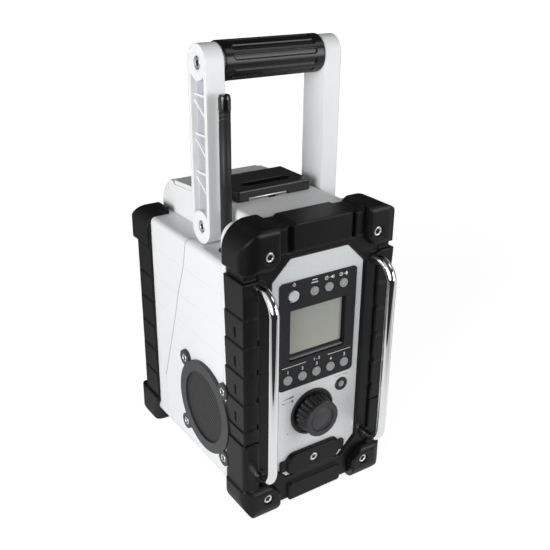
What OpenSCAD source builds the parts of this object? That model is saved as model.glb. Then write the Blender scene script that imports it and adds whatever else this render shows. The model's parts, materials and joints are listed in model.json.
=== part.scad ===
/* [Cabinet] */
// Width of the white cabinet
body_w = 154; // [150:1:158]
// Width of the hump between the handle's arms
hump_w = 99; // [94:1:102]
// Height of the shoulders above the floor
shoulder_z = 249.3; // [247:0.1:251]
// Height of the deck on top of the hump
deck_z = 286; // [284:0.5:290]
// Height of the cabinet's underside above the floor
under_z = 19; // [14:1:22]
// Depth from the guard bars to the rear blocks
overall_d = 239.4; // [230:0.1:250]
// Wall thickness of the shells
wall = 2.5; // [2:0.1:3]

/* [Bumpers] */
// Width across the corner blocks and the feet
block_w = 163; // [160:1:168]
// Width across the side bumpers
bumper_w = 160; // [158:0.5:162]
// Height of the top front corner blocks' upper face
block_top_z = 290.5; // [289:0.5:294]
// Height of the rear corner blocks' upper face
rear_top_z = 256.5; // [254:0.5:258]
// How far the front corner blocks stand out from the frame
block_proud = 8; // [6:0.5:10]
// How far the rear blocks stand out from the rear wall
rear_proud = 11.7; // [9:0.1:14]

/* [Control front] */
// Depth of the front frame
frame_d = 28.5; // [26:0.5:32]
// Width of the panel
panel_w = 97.6; // [94:0.2:100]
// Lowest edge of the panel
panel_z0 = 33.6; // [31:0.2:36]
// Highest edge of the panel
panel_z1 = 255.7; // [252:0.1:258]
// Width and height of the panel's corner chamfers
panel_chamfer = 18; // [12:1:20]
// Thickness of the panel and of the plate's supports
panel_t = 3; // [2.4:0.2:4]
// Depth of the panel's face below the frame's face
panel_recess = 2; // [1:0.5:3]

/* [Display and buttons] */
// Width of the dark display plate
plate_w = 83; // [78:1:88]
// Width of the display window
window_w = 62; // [54:1:66]
// Height of the display window with its sill
window_h = 49.7; // [44:0.1:52]
// Height of the preset buttons above the floor
preset_z = 139; // [136:0.5:141]
// Distance between the preset buttons
preset_pitch = 15.85; // [14.4:0.05:16.4]
// Diameter of a preset button
preset_d = 9.6; // [8:0.2:10]
// Height of the power and function buttons above the floor
function_z = 221; // [219.5:0.5:223]
// Diameter of the power button
power_d = 12; // [9:0.5:12.5]
// Diameter of a function button
function_d = 9; // [7:0.5:10]
// Diameter of the menu button
menu_d = 7; // [6:0.5:8]
// Travel of a button
travel = 1.2; // [0.8:0.1:1.6]

/* [Knob] */
// Height of the tuning knob's axis above the floor
knob_z = 96.5; // [92:0.5:98]
// Diameter of the knob's cap
knob_d = 32.5; // [28:0.5:36]
// Diameter of the skirt behind the knob
skirt_d = 42.5; // [40:0.5:44]
// Height of the knob above the panel
knob_h = 17; // [14:0.5:20]
// Diameter of the knob's spindle
spindle_d = 6; // [5:0.5:8]

/* [Guard bars] */
// Diameter of a guard bar
bar_d = 9; // [7:0.5:10]
// Distance between the two guard bars
bar_gauge = 125; // [122:0.5:128]
// Distance from the frame's face to the bar's centre line
bar_reach = 22.2; // [20:0.2:26]
// Radius of the bar's bends at the centre line
bar_bend = 18; // [14:0.5:18.5]

/* [Handle] */
// Length of an arm between its two bosses
arm_l = 141.5; // [132:0.5:150]
// Width of an arm
arm_w = 31; // [28:0.5:31]
// Thickness of an arm
arm_t = 17.5; // [14:0.5:19]
// Depth of the hollow in an arm's outer face
arm_recess = 5.6; // [3:0.2:8]
// Diameter of the pivot bolts
pivot_d = 8; // [6:0.5:10]
// Diameter of the grip
grip_d = 33.5; // [29:0.5:34]

/* [Loudspeakers] */
// Outer diameter of a loudspeaker's ring
ring_d = 92; // [86:1:94]
// Diameter of the grille
grille_d = 70.6; // [66:0.2:72]
// Height of the loudspeaker's centre above the floor
speaker_z = 90; // [86:1:92]
// Half the distance between neighbouring ring screws
lug_pitch = 36.3; // [34:0.1:37]

/* [Antenna] */
// Diameter of the antenna
antenna_d = 10; // [8:0.5:11]
// Height of the antenna's tip above the floor
antenna_top = 385; // [360:1:400]

/* [Battery bay] */
// Thickness of the lid
lid_t = 4; // [3:0.5:5]
// Radius of the lid's hinge barrel
barrel_r = 7; // [6:0.5:8]
// Inner depth of the battery tray
tray_h = 60; // [45:1:64]
// Height of the latch above the deck
latch_h = 10.5; // [9:0.5:14]
// Travel of the latch
latch_travel = 8; // [5:0.5:9]

/* [Hidden] */
$fn = 64;
eps = 0.01;
fit = 0.3;
running = 0.05;

// Planes of the cabinet, front to rear and floor to deck
bar_y = bar_d / 2 - overall_d / 2;
frame_y = bar_y + bar_reach;
rim_y = frame_y + frame_d;
rim_t = 6.5;
shell_y = rim_y + rim_t;
rear_y = overall_d / 2 - rear_proud;
block_y = frame_y - block_proud;
rear_block_y = overall_d / 2;
body_x = body_w / 2;
hump_x = hump_w / 2;
block_x = block_w / 2;
bumper_x = bumper_w / 2;

// Rim and front frame
rim_x = body_x + 1;
rim_z0 = under_z - 9;
rim_z1 = deck_z;
rim_top_r = 14;
rim_low_r = 25;
frame_x = bumper_x - 16;
frame_z0 = under_z - 10.5;
frame_z1 = deck_z;
pad_face_y = frame_y - 2.5;
pad_x = 30.5;
pad_h = 16;
pad_rise = 2;
pad_drop = 1.5;
top_pad_h = 25;
post_h = 23;
post_x = pad_x + 5.5;

// Front blocks, feet and side bumpers
top_block_x = block_x - 35;
top_block_z = 252;
block_chamfer = 10;
foot_x = block_x - 39;
foot_z = 37.5;
foot_chamfer = 13;
block_corner_r = 24;
foot_corner_r = 28;
edge_r = 6;
block_side_r = 15;
foot_side_r = 13;
foot_inner_r = 6;
foot_edge_r = 16;
foot_taper = [4, 15];
foot_top_r = 7;
bumper_y = frame_y - 2.8;
segment_z = [86.8, 101.9, 129.4, 157.4, 185.7, 212.3, 245];
segment_lip = 1;
slit = [10, 2.2];
slit_y = frame_y + 12;

// Rear blocks, feet and strips
rear_wrap_y = rear_y - 27.6;
rear_strip_y = rear_y + 3.7;
rear_hook_x = block_x - 24.5;
rear_block_z = 218;
rear_foot_z = 45;
rear_foot_x = block_x - 27.5;
rear_foot_r = [3, 21];
rear_foot_nose = [22, 40];
rear_foot_heel = [14.5, 24];
rear_edge_r = 5;
rear_crown_r = 24;
strip_x = bumper_x - 17;

// Line where the front and rear shells meet, from the roof to the underside
seam_top_y = 9;
seam = [[seam_top_y, shoulder_z], [14, 223], [26.6, 191.7], [37.5, 156], [63, 83], [63, 0]];

// Panel, display and buttons
panel_y = frame_y + panel_recess;
panel_back_y = panel_y + panel_t;
panel_x = panel_w / 2;
flange_w = 3;
flange_t = 2;
plate_t = 1.2;
plate_z0 = 128.8;
plate_z1 = 234.6;
plate_y = panel_y - plate_t;
window_z0 = 158.3;
window_z1 = window_z0 + window_h;
sill_h = 8;
lens_t = 1.5;
button_proud = 1.8;
button_gap = 0.7;
button_flange = 1.3;
button_flange_t = 1.3;
switch_y = panel_back_y + fit + button_flange_t + travel + fit;
switch_h = 3.2;
board_y = switch_y + switch_h;
board_t = 1.6;
board_z0 = 107;
power_x = -27;
function_x = -5.2;
function_pitch = 16;
menu_x = 30.4;
menu_z = 115;
board_w = 2 * (menu_x + 11.6);
knob_x = -3;
knob_ribs = 32;
encoder_w = 15;
encoder_t = 9;

// Cover over the sockets
cover_x = -1.2;
cover_z = 46;
cover_l = 60;
cover_h = 20.5;
cover_t = 4;
cover_r = 9;
cover_lip = [0.7, 1.7, 1.6];
cover_tab = 7.3;
cover_tab_h = 11.5;
socket_d = 9;
socket_x = 14;

// Guard bars and their bosses
bar_x = bar_gauge / 2;
bar_z = [49.7, 237.3];
bar_root_y = frame_y + 13;
bar_boss_d = bar_d + 3.4;

// Screws
screw_x = block_x - 25;
screw_z = [23.4, 265.7];
rear_screw_x = block_x - 14.5;
rear_screw_z = [31, 231];
screw_head_d = 8.5;
screw_head_t = 4;
screw_d = 4;
sink_d = screw_head_d + 2;
screw_sink = 4.2;
rear_sink = 3;
hex_d = 4.6;

// Handle
pivot_y = -6.5;
pivot_z = shoulder_z + arm_w / 2 + 0.7;
grip_z = pivot_z + arm_l;
arm_x0 = hump_x + 1.5;
arm_x1 = arm_x0 + arm_t;
boss_r = arm_w / 2 - 1;
recess_w = arm_w - 9;
rib_t = 2;
rib_h = 2;
rib_drop = 13.5;
rib_pitch = 33.5;
core_d = grip_d - 11;
head_d = pivot_d + 6;
pivot_boss_d = 24;

// Loudspeakers
speaker_inset = 42;
speaker_y = rim_y + speaker_inset;
ring_t = 3.5;
ring_x = body_x + ring_t;
lug_r = 8;
grille_t = 1.5;
driver_d = grille_d - 3;
driver_h = 34;

// Antenna
antenna_x = hump_x + 8.3;
antenna_y = -32.7;
antenna_root = 8;
antenna_cap_h = 14;

// Battery bay, lid and latch
lid_y = -23;
lid_z = deck_z - lid_t;
roof_r = 32;
roof_drop = 3;
roof_edge_r = 4;
hinge_y = rear_y - 20;
hinge_z = deck_z - 12;
hinge_room = 0.8;
pin_d = 4;
lug_x = hump_x - 9;
tray_x = 40;
tray_y0 = lid_y + 6;
tray_y1 = hinge_y - barrel_r - 6;
tray_z1 = lid_z - roof_drop - 1.5;
tray_flange_t = 2.5;
ledge_t = 3;
latch_x = 39.6;
latch_y0 = lid_y + 1.5;
latch_depth = 49.5;
latch_y1 = latch_y0 + latch_depth;
latch_cavity = [28, 14, 3.2];
latch_slot_x = 26;
tongue = [12, 18];

// Circuit board in the cabinet
main_y = 40;
main_x = 52;
main_z0 = 40;
main_z1 = 200;
main_margin = 9;
main_chip = [22, 12, 40];
post_d = 7;

white = [0.94, 0.945, 0.95];
rubber = [0.13, 0.13, 0.14];
silver = [0.79, 0.80, 0.81];
charcoal = [0.2, 0.2, 0.23];
button_grey = [0.6, 0.62, 0.6];
steel = [0.75, 0.75, 0.77];

// ---- Helpers ----

// A flat outline in x and z, made solid from y0 to y1
module along_y(y0, y1) {
    translate([0, y1, 0]) rotate([90, 0, 0]) linear_extrude(y1 - y0) children();
}

// A flat outline in y and z, made solid from x0 to x1
module along_x(x0, x1) {
    translate([x0, 0, 0]) rotate([90, 0, 90]) linear_extrude(x1 - x0) children();
}

// A flat outline in x and y, made solid from z0 to z1
module along_z(z0, z1) {
    translate([0, 0, z0]) linear_extrude(z1 - z0) children();
}

// A round rod along y, about a centre given in x and z
module rod_y(centre, d, y0, y1) {
    translate([centre[0], y1, centre[1]]) rotate([90, 0, 0]) cylinder(d = d, h = y1 - y0);
}

// A round rod along x, about a centre given in y and z
module rod_x(centre, d, x0, x1) {
    translate([x0, centre[0], centre[1]]) rotate([0, 90, 0]) cylinder(d = d, h = x1 - x0);
}

// A block between two opposite corners
module block(low, high) {
    translate(low) cube(high - low);
}

// A rectangle with its own radius at each corner: low left, low right, high right, high left
module plate2(low, high, radii = [0, 0, 0, 0]) {
    corners = [low, [high[0], low[1]], high, [low[0], high[1]]];
    inward = [[1, 1], [-1, 1], [-1, -1], [1, -1]];
    difference() {
        translate(low) square(high - low);
        for (i = [0:3]) if (radii[i] > 0) {
            r = radii[i];
            translate(corners[i]) difference() {
                translate([inward[i][0] > 0 ? -1 : -r, inward[i][1] > 0 ? -1 : -r]) square(r + 1);
                translate(inward[i] * r) circle(r);
            }
        }
    }
}

// The piece itself on the right, its mirror image on the left
module sided(side) {
    if (side > 0) children();
    else mirror([1, 0, 0]) children();
}

// The piece and its mirror image
module both_sides() {
    for (side = [-1, 1]) sided(side) children();
}

// ---- Cabinet ----

// The cabinet's outer form, shrunk on every side but the front by inset
module cabinet_form(inset, y0) {
    x = body_x - inset;
    top_x = hump_x - inset;
    y1 = rear_y - inset;
    intersection() {
        along_y(y0, y1) plate2([-x, under_z + inset], [x, shoulder_z - inset], [16, 16, 5, 5]);
        along_x(-x, x) plate2([y0, under_z + inset], [y1, shoulder_z - inset], [0, 18, 4, 0]);
        along_z(0, deck_z) plate2([-x, y0], [x, y1], [0, 0, 8, 8]);
    }
    intersection() {
        r = roof_edge_r;
        along_y(y0, y1)
            plate2([-top_x, shoulder_z - roof_r], [top_x, deck_z - inset], [0, 0, r, r]);
        along_x(-top_x, top_x) roof_outline(inset, y0);
    }
}

// The hump in y and z: level as far as the latch, falling to the rear, then rounded down
module roof_outline(inset, y0) {
    y1 = rear_y - inset;
    r = roof_r - inset;
    low = shoulder_z - roof_r;
    high = deck_z - inset;
    plate2([y0, low], [y1, high - roof_drop], [0, 0, r, 0]);
    polygon([[y0, low], [y1 - r, low], [y1 - r, high - roof_drop], [latch_y1, high], [y0, high]]);
}

// The lid's section in y and z: the top of the roof from y0 to y1, deeper by gap
module lid_outline(y0, y1, gap) {
    difference() {
        intersection() {
            roof_outline(-1, shell_y);
            translate([y0, shoulder_z]) square([y1 - y0, deck_z]);
        }
        roof_outline(lid_t + gap, shell_y - 1);
    }
}

// Everything in front of the line where the shells meet
module front_of_seam() {
    far = overall_d;
    points = concat([[-far, -1], [-far, deck_z + far]], [[seam_top_y, deck_z + far]], seam,
        [[seam[len(seam) - 1][0], -1]]);
    along_x(-far, far) polygon(points);
}

// The ring that closes the cabinet's front, behind the frame
module rim() {
    r = rim_top_r;
    low_r = rim_low_r;
    opening_x = panel_x + 5;
    difference() {
        along_y(rim_y, shell_y) plate2([-rim_x, rim_z0], [rim_x, rim_z1], [low_r, low_r, r, r]);
        along_y(rim_y - 1, shell_y + 1)
            plate2([-opening_x, panel_z0 - 4], [opening_x, shoulder_z - 4], [8, 8, 8, 8]);
    }
}

// The outline of a loudspeaker's ring with its four lugs, in y and z
module ring_outline(gap) {
    translate([speaker_y, speaker_z]) {
        circle(d = ring_d + 2 * gap);
        for (sy = [-1, 1]) for (sz = [-1, 1])
            translate([sy * lug_pitch, sz * lug_pitch]) circle(lug_r + gap);
    }
}

// Both shells before they are parted
module whole_shell() {
    difference() {
        union() {
            difference() {
                cabinet_form(0, shell_y);
                cabinet_form(wall, shell_y - 1);
            }
            rim();
            tray_ledges();
            both_sides() rod_x([pivot_y, pivot_z], pivot_boss_d, hump_x - wall, arm_x0 - fit);
        }
        lid_cutout();
        both_sides() {
            rod_x([speaker_y, speaker_z], driver_d + 1, body_x - 2 * wall, rim_x + 1);
            along_x(body_x, rim_x + 1) ring_outline(fit);
            rod_x([pivot_y, pivot_z], pivot_d, hump_x - 2 * wall, arm_x0);
            for (z = screw_z) rod_y([screw_x, z], screw_d, rim_y - 1, shell_y - 1);
            for (z = rear_screw_z) rod_y([rear_screw_x, z], screw_d, rear_y - wall - 1, rear_y + 1);
            for (sy = [-1, 1]) for (sz = [-1, 1])
                rod_x([speaker_y + sy * lug_pitch, speaker_z + sz * lug_pitch], screw_d,
                    body_x - 2 * wall, body_x + 1);
        }
        translate([-antenna_x, antenna_y, shoulder_z - 2 * wall])
            cylinder(d = antenna_d + 4, h = 3 * wall);
    }
}

// Ledges along the hump's walls that carry the battery tray
module tray_ledges() {
    top = tray_z1 - tray_flange_t;
    both_sides() block([tray_x + 1, tray_y0, top - ledge_t], [hump_x - wall + eps, tray_y1, top]);
}

// Posts on the rear wall that carry the main board
module main_board_posts() {
    both_sides() for (z = [main_z0 + main_margin, main_z1 - main_margin])
        rod_y([main_x - main_margin, z], post_d, main_y + board_t, rear_y - wall + eps);
}

// The room that the lid and its hinge barrel take out of the hump
module lid_cutout() {
    room = barrel_r + hinge_room;
    along_x(-hump_x - 1, hump_x + 1) lid_outline(lid_y - fit, hinge_y + room, fit);
    rod_x([hinge_y, hinge_z], 2 * room, -lug_x - fit, lug_x + fit);
    rod_x([hinge_y, hinge_z], pin_d, -lug_x - 6, lug_x + 6);
}

module front_shell() {
    color(white) intersection() {
        whole_shell();
        front_of_seam();
    }
}

module rear_shell() {
    color(white) {
        difference() {
            whole_shell();
            front_of_seam();
        }
        main_board_posts();
        both_sides() difference() {
            union() {
                rod_x([hinge_y, hinge_z], 2 * barrel_r, lug_x + fit, hump_x);
                block([lug_x + fit, hinge_y - barrel_r, hinge_z - 14],
                    [hump_x - wall, hinge_y + barrel_r, hinge_z]);
            }
            rod_x([hinge_y, hinge_z], pin_d, lug_x, lug_x + 6);
        }
    }
}

// ---- Front frame ----

// The panel's eight-sided outline in x and z, grown by a margin
module octagon(margin) {
    x = panel_x + margin;
    c = panel_chamfer + 0.6 * margin;
    low = panel_z0 - margin;
    high = panel_z1 + margin;
    polygon([[x, low + c], [x, high - c], [x - c, high], [c - x, high],
        [-x, high - c], [-x, low + c], [c - x, low], [x - c, low]]);
}

// The front's outer envelope in x and z, a little inside the blocks and the feet
module front_envelope() {
    r = block_corner_r - 1;
    low_r = foot_corner_r - 1;
    plate2([1 - block_x, 1], [block_x - 1, block_top_z - 1], [low_r, low_r, r, r]);
}

// The frame's plain bar work, before its openings
module frame_body() {
    difference() {
        union() {
            along_y(frame_y, rim_y) intersection() {
                plate2([-frame_x, frame_z0], [frame_x, frame_z1]);
                front_envelope();
            }
            along_y(pad_face_y, rim_y) plate2([-pad_x, frame_z1 + pad_rise - top_pad_h],
                [pad_x, frame_z1 + pad_rise], [3, 3, 3, 3]);
            along_y(pad_face_y, rim_y)
                plate2([-pad_x, frame_z0 - pad_drop], [pad_x, frame_z0 + pad_h], [3, 3, 3, 3]);
            both_sides() along_y(frame_y - 1, rim_y)
                polygon([[post_x, frame_z1 - post_h], [top_block_x, frame_z1 - post_h],
                    [top_block_x, block_top_z - 0.5], [top_block_x - 5, frame_z1 - 0.5],
                    [post_x, frame_z1 - 0.5]]);
        }
        both_sides() along_y(pad_face_y - 1, rim_y + 1) {
            block_outline();
            foot_outline();
            upright_outline();
        }
        both_sides() along_y(frame_y - 2, frame_y + 2)
            plate2([pad_x, frame_z1 - top_pad_h + pad_rise], [post_x, frame_z1 + 1]);
    }
}

module front_frame() {
    color(rubber) difference() {
        union() {
            frame_body();
            both_sides() for (z = bar_z) rod_y([bar_x, z], bar_boss_d, bumper_y, rim_y);
        }
        hull() {
            along_y(frame_y - 1, frame_y) octagon(1.8);
            along_y(panel_y - 0.1, panel_y) octagon(0);
        }
        along_y(panel_y - 1, rim_y) octagon(0);
        along_y(panel_back_y, rim_y + 1) octagon(flange_w);
        both_sides() for (z = bar_z)
            rod_y([bar_x, z], bar_d + 2 * running, bumper_y - 1, bar_root_y + running);
    }
}

// ---- Front rubber: blocks, feet and side bumpers ----

// The outline of a top block in x and z, chamfered towards the panel
module block_outline() {
    c = block_chamfer;
    x0 = top_block_x;
    z0 = top_block_z;
    difference() {
        plate2([x0, z0], [block_x, block_top_z], [0, 3, block_corner_r, 2]);
        polygon([[x0 - 1, z0 - 1], [x0 + c, z0 - 1], [x0 + c, z0], [x0, z0 + c], [x0 - 1, z0 + c]]);
    }
}

module top_block(side) {
    r = edge_r;
    color(rubber) sided(side) difference() {
        intersection() {
            along_y(block_y, rim_y) block_outline();
            along_x(top_block_x, block_x)
                plate2([block_y, top_block_z], [rim_y, block_top_z], [r, 0, 0, r]);
            along_z(0, block_top_z + 1)
                plate2([top_block_x, block_y], [block_x, rim_y], [2, block_side_r, 0, 0]);
        }
        sunk_hole([screw_x, screw_z[1]]);
    }
}

// The outline of a foot in x and z, chamfered towards the panel
module foot_outline() {
    c = foot_chamfer;
    z1 = foot_z;
    difference() {
        plate2([foot_x, 0], [block_x, z1], [foot_inner_r, foot_corner_r, 2, 0]);
        polygon([[foot_x - 1, -1], [foot_x + foot_taper[0], -1], [foot_x, foot_taper[1]],
            [foot_x - 1, foot_taper[1]]]);
        polygon([[foot_x - 1, z1 - c], [foot_x, z1 - c], [foot_x + c, z1], [foot_x + c, z1 + 1],
            [foot_x - 1, z1 + 1]]);
    }
}

// The lowest length of the side bumper, in one piece with the foot, in x and z
module upright_outline() {
    plate2([frame_x, foot_z - 10], [bumper_x, segment_z[0]]);
}

// A bore through a block or a foot with a wide mouth for the screw's head
module sunk_hole(centre) {
    rod_y(centre, sink_d, block_y - 1, block_y + screw_sink + screw_head_t);
    rod_y(centre, screw_d, block_y, rim_y + 1);
}

module front_foot(side) {
    color(rubber) sided(side) difference() {
        union() {
            intersection() {
                along_y(block_y, rim_y) foot_outline();
                along_x(foot_x, block_x)
                    plate2([block_y, 0], [rim_y, foot_z], [foot_edge_r, 0, 0, foot_top_r]);
                along_z(-1, foot_z + 1)
                    plate2([foot_x, block_y], [block_x, rim_y], [2, foot_side_r, 2, 0]);
            }
            intersection() {
                along_y(bumper_y, rim_y) upright_outline();
                along_z(-1, segment_z[0] + 1)
                    plate2([frame_x, bumper_y], [bumper_x, rim_y], [0, 4, 0, 0]);
            }
        }
        along_x(bumper_x - 20, block_x + 1) ring_outline(0.8);
        rod_y([bar_x, bar_z[0]], bar_boss_d, block_y - 1, rim_y + 1);
        sunk_hole([screw_x, screw_z[0]]);
    }
}

// The saw-tooth edge of the overlapping segments: each one's top stands out by the lip
function teeth(edge, sign) = [for (i = [0:len(segment_z) - 2]) each [
    [edge, segment_z[i]], [edge + sign * segment_lip, segment_z[i + 1]]]];

module side_bumper(side) {
    top = segment_z[len(segment_z) - 1];
    low = segment_z[0];
    neck_z = top_block_z;
    color(rubber) sided(side) difference() {
        union() {
            intersection() {
                along_y(frame_y - 10, rim_y) polygon(concat([[frame_x, low]],
                    teeth(bumper_x - segment_lip, 1), [[frame_x, top]]));
                along_x(frame_x, bumper_x) polygon(concat([[rim_y, low]],
                    teeth(bumper_y + segment_lip, -1), [[rim_y, top]]));
                along_z(0, deck_z)
                    plate2([frame_x, frame_y - 10], [bumper_x, rim_y], [0, 9, 0, 0]);
            }
            block([frame_x, frame_y + 1, top - 1], [bumper_x - 3, rim_y, neck_z]);
        }
        along_x(bumper_x - 20, block_x + 1) ring_outline(0.8);
        for (z = bar_z) rod_y([bar_x, z], bar_boss_d, block_y - 1, rim_y + 1);
        for (i = [1:4]) {
            z = segment_z[i];
            half = slit[1] / 2;
            block([bumper_x - 6, slit_y - half, z + 6], [bumper_x + 1, slit_y + half, z + 6 + slit[0]]);
            block([frame_x - 1, frame_y - 5, z], [frame_x + 2, frame_y + 1, z + 5]);
        }
    }
}

// ---- Rear rubber: blocks, feet and strips ----

module rear_form(x0, x1, z0, z1, y1, radii, crown_r = 0) {
    difference() {
        intersection() {
            along_y(rear_wrap_y, y1) plate2([x0, z0], [x1, z1], radii);
            along_x(x0, x1) plate2([rear_wrap_y, z0], [y1, z1], [0, 0, crown_r, 0]);
            along_z(-1, z1 + 1)
                plate2([x0, rear_wrap_y], [x1, y1], [0, 0, rear_edge_r, 2]);
        }
        cabinet_form(0, shell_y);
    }
}

// A screw's bore through a rear block or foot, with a wide mouth for its head
module rear_hole(z) {
    rod_y([rear_screw_x, z], screw_head_d + 0.6, rear_block_y - rear_sink, rear_block_y + 1);
    rod_y([rear_screw_x, z], screw_d, rear_wrap_y, rear_block_y);
}

module rear_block(side) {
    color(rubber) sided(side) difference() {
        rear_form(rear_hook_x, block_x, rear_block_z, rear_top_z, rear_block_y, [0, 3, 20, 2],
            rear_crown_r);
        rear_hole(rear_screw_z[1]);
    }
}

module rear_foot(side) {
    y0 = rear_wrap_y;
    y1 = rear_block_y;
    top = rear_foot_z;
    nose = rear_foot_nose;
    heel = rear_foot_heel;
    color(rubber) sided(side) difference() {
        intersection() {
            rear_form(rear_foot_x, block_x, 0, top, y1, [rear_foot_r[0], rear_foot_r[1], 3, 0]);
            along_x(rear_foot_x - 1, block_x + 1) polygon([[y0, top + 1], [y0, nose[1]],
                [y0 + nose[0] * 0.85, nose[1] * 0.1], [y0 + nose[0], 0], [y1 - heel[0], 0],
                [y1 - heel[0] * 0.75, heel[1] * 0.12], [y1 - heel[0] * 0.08, heel[1] * 0.85],
                [y1, heel[1]], [y1, top + 1]]);
        }
        rear_hole(rear_screw_z[0]);
    }
}

module rear_bumpers() {
    bounds = [rear_foot_z, 73.5, 101.9, 129.4, 157.4, 185.7, rear_block_z];
    color(rubber) both_sides() for (i = [0:len(bounds) - 2])
        intersection() {
            rear_form(strip_x, bumper_x, bounds[i], bounds[i + 1], rear_strip_y, [0, 0, 0, 0]);
            along_y(rear_wrap_y - 1, rear_strip_y) polygon([[strip_x, bounds[i]],
                [bumper_x - segment_lip, bounds[i]], [bumper_x, bounds[i + 1]],
                [strip_x, bounds[i + 1]]]);
        }
}

// ---- Control panel and display ----

module button_holes(extra, y0, y1) {
    for (i = [-2:2]) rod_y([i * preset_pitch, preset_z], preset_d + extra, y0, y1);
    rod_y([power_x, function_z], power_d + extra, y0, y1);
    for (i = [0:2]) rod_y([function_x + i * function_pitch, function_z], function_d + extra, y0, y1);
}

module control_panel() {
    color(silver) difference() {
        union() {
            along_y(panel_y, panel_back_y) octagon(-0.1);
            along_y(panel_back_y, panel_back_y + flange_t) difference() {
                octagon(flange_w - 0.1);
                octagon(-1);
            }
        }
        button_holes(2 * button_gap, panel_y - 1, panel_back_y + 1);
        rod_y([menu_x, menu_z], menu_d + 2 * button_gap, panel_y - 1, panel_back_y + 1);
        rod_y([knob_x, knob_z], spindle_d + 3, panel_y - 1, panel_back_y + 1);
        rod_y([cover_x, cover_z], screw_d, panel_y - 1, panel_back_y + 1);
        for (s = [-1, 1])
            rod_y([cover_x + s * socket_x, cover_z], socket_d, panel_y - 1, panel_back_y + 1);
        along_y(panel_y - 1, panel_back_y + 1)
            plate2([-window_w / 2, window_z0], [window_w / 2, window_z1]);
    }
}

module display_plate() {
    color(charcoal) difference() {
        along_y(plate_y, panel_y)
            plate2([-plate_w / 2, plate_z0], [plate_w / 2, plate_z1], [4, 4, 4, 4]);
        button_holes(2 * button_gap, plate_y - 1, panel_y + 1);
        along_y(plate_y - 1, panel_y + 1)
            plate2([-window_w / 2, window_z0], [window_w / 2, window_z1]);
    }
}

module display_sill() {
    color(silver) along_x(-window_w / 2, window_w / 2)
        polygon([[plate_y, window_z0], [panel_back_y, window_z0], [panel_back_y, window_z0 + sill_h]]);
}

module display_lens() {
    color([0.62, 0.64, 0.6]) along_y(panel_back_y, panel_back_y + lens_t)
        plate2([-window_w / 2 - 3, window_z0 - 2], [window_w / 2 + 3, window_z1 + 3]);
}

module display_module() {
    color([0.3, 0.35, 0.3]) along_y(panel_back_y + lens_t, board_y)
        plate2([-window_w / 2 - 3, window_z0 - 2], [window_w / 2 + 3, window_z1 + 3]);
}

module display_board() {
    color([0.1, 0.35, 0.2]) {
        along_y(board_y, board_y + board_t)
            plate2([-board_w / 2, board_z0], [board_w / 2, plate_z1 - 2]);
        for (i = [-2:2]) rod_y([i * preset_pitch, preset_z], 5, switch_y, board_y);
        for (i = [0:2])
            rod_y([function_x + i * function_pitch, function_z], 5, switch_y, board_y);
        rod_y([power_x, function_z], 5, switch_y, board_y);
        rod_y([menu_x, menu_z], 5, switch_y, board_y);
        for (sx = [-1, 1]) for (z = [board_z0 + 4, plate_z1 - 6])
            rod_y([sx * (board_w / 2 - 3), z], 5, panel_back_y, board_y);
    }
}

// A button: its cap stands out of the front and a flange behind the panel keeps it in
module button(centre, d, front_y) {
    color(button_grey) {
        rod_y(centre, d, front_y, panel_back_y + fit + button_flange_t);
        rod_y(centre, d + 2 * (button_gap + button_flange), panel_back_y + fit,
            panel_back_y + fit + button_flange_t);
    }
}

module knob_skirt() {
    color(charcoal) difference() {
        rod_y([knob_x, knob_z], skirt_d, panel_y - 1.6, panel_y);
        rod_y([knob_x, knob_z], spindle_d + 3, panel_y - 3, panel_y + 1);
    }
}

module tuning_knob() {
    face_y = panel_y - knob_h;
    base_y = panel_y - 1.6 - fit;
    color(rubber) {
        difference() {
            union() {
                rod_y([knob_x, knob_z], knob_d, face_y, base_y);
                for (i = [0:knob_ribs - 1]) {
                    a = 360 * i / knob_ribs;
                    r = knob_d / 2;
                    rod_y([knob_x + r * cos(a), knob_z + r * sin(a)], 1.8, face_y + 3.5, base_y);
                }
                rod_y([knob_x, knob_z], knob_d + 3, base_y - 2.5, base_y);
            }
            rod_y([knob_x, knob_z], knob_d - 9.5, face_y - 1, face_y + 1.2);
        }
        rod_y([knob_x, knob_z], spindle_d, base_y - 1, panel_back_y + encoder_t - 2);
    }
}

module encoder() {
    half = encoder_w / 2;
    color(steel) difference() {
        block([knob_x - half, panel_back_y, knob_z - half],
            [knob_x + half, panel_back_y + encoder_t, knob_z + half]);
        rod_y([knob_x, knob_z], spindle_d + 2 * running, panel_back_y - 1,
            panel_back_y + encoder_t - 1.5);
    }
}

module socket_cover() {
    l = cover_l / 2;
    h = cover_h / 2;
    r = cover_r;
    tab = l + cover_tab;
    lip = cover_lip;
    color(rubber) difference() {
        union() {
            along_y(panel_y - cover_t, panel_y)
                plate2([cover_x - l, cover_z - h], [cover_x + l, cover_z + h], [r, r, r, r]);
            along_y(panel_y - lip[2], panel_y)
                plate2([cover_x - l - lip[0], cover_z - h - lip[1]],
                    [cover_x + l + lip[0], cover_z + h + lip[1]], [r, r, r, r]);
            along_y(panel_y - lip[2] - 0.4, panel_y)
                plate2([cover_x - tab, cover_z - cover_tab_h / 2],
                    [cover_x + tab, cover_z + cover_tab_h / 2], [2, 2, 2, 2]);
        }
        rod_y([cover_x, cover_z], screw_head_d + 0.6, panel_y - cover_t - 1, panel_y - 0.5);
        rod_y([cover_x, cover_z], screw_d, panel_y - cover_t, panel_y + 1);
    }
}

module aux_sockets() {
    color(charcoal) for (s = [-1, 1]) difference() {
        rod_y([cover_x + s * socket_x, cover_z], socket_d, panel_y, panel_back_y + 12);
        rod_y([cover_x + s * socket_x, cover_z], 3.6, panel_y - 1, panel_back_y + 8);
    }
}

// ---- Guard bars ----

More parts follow.
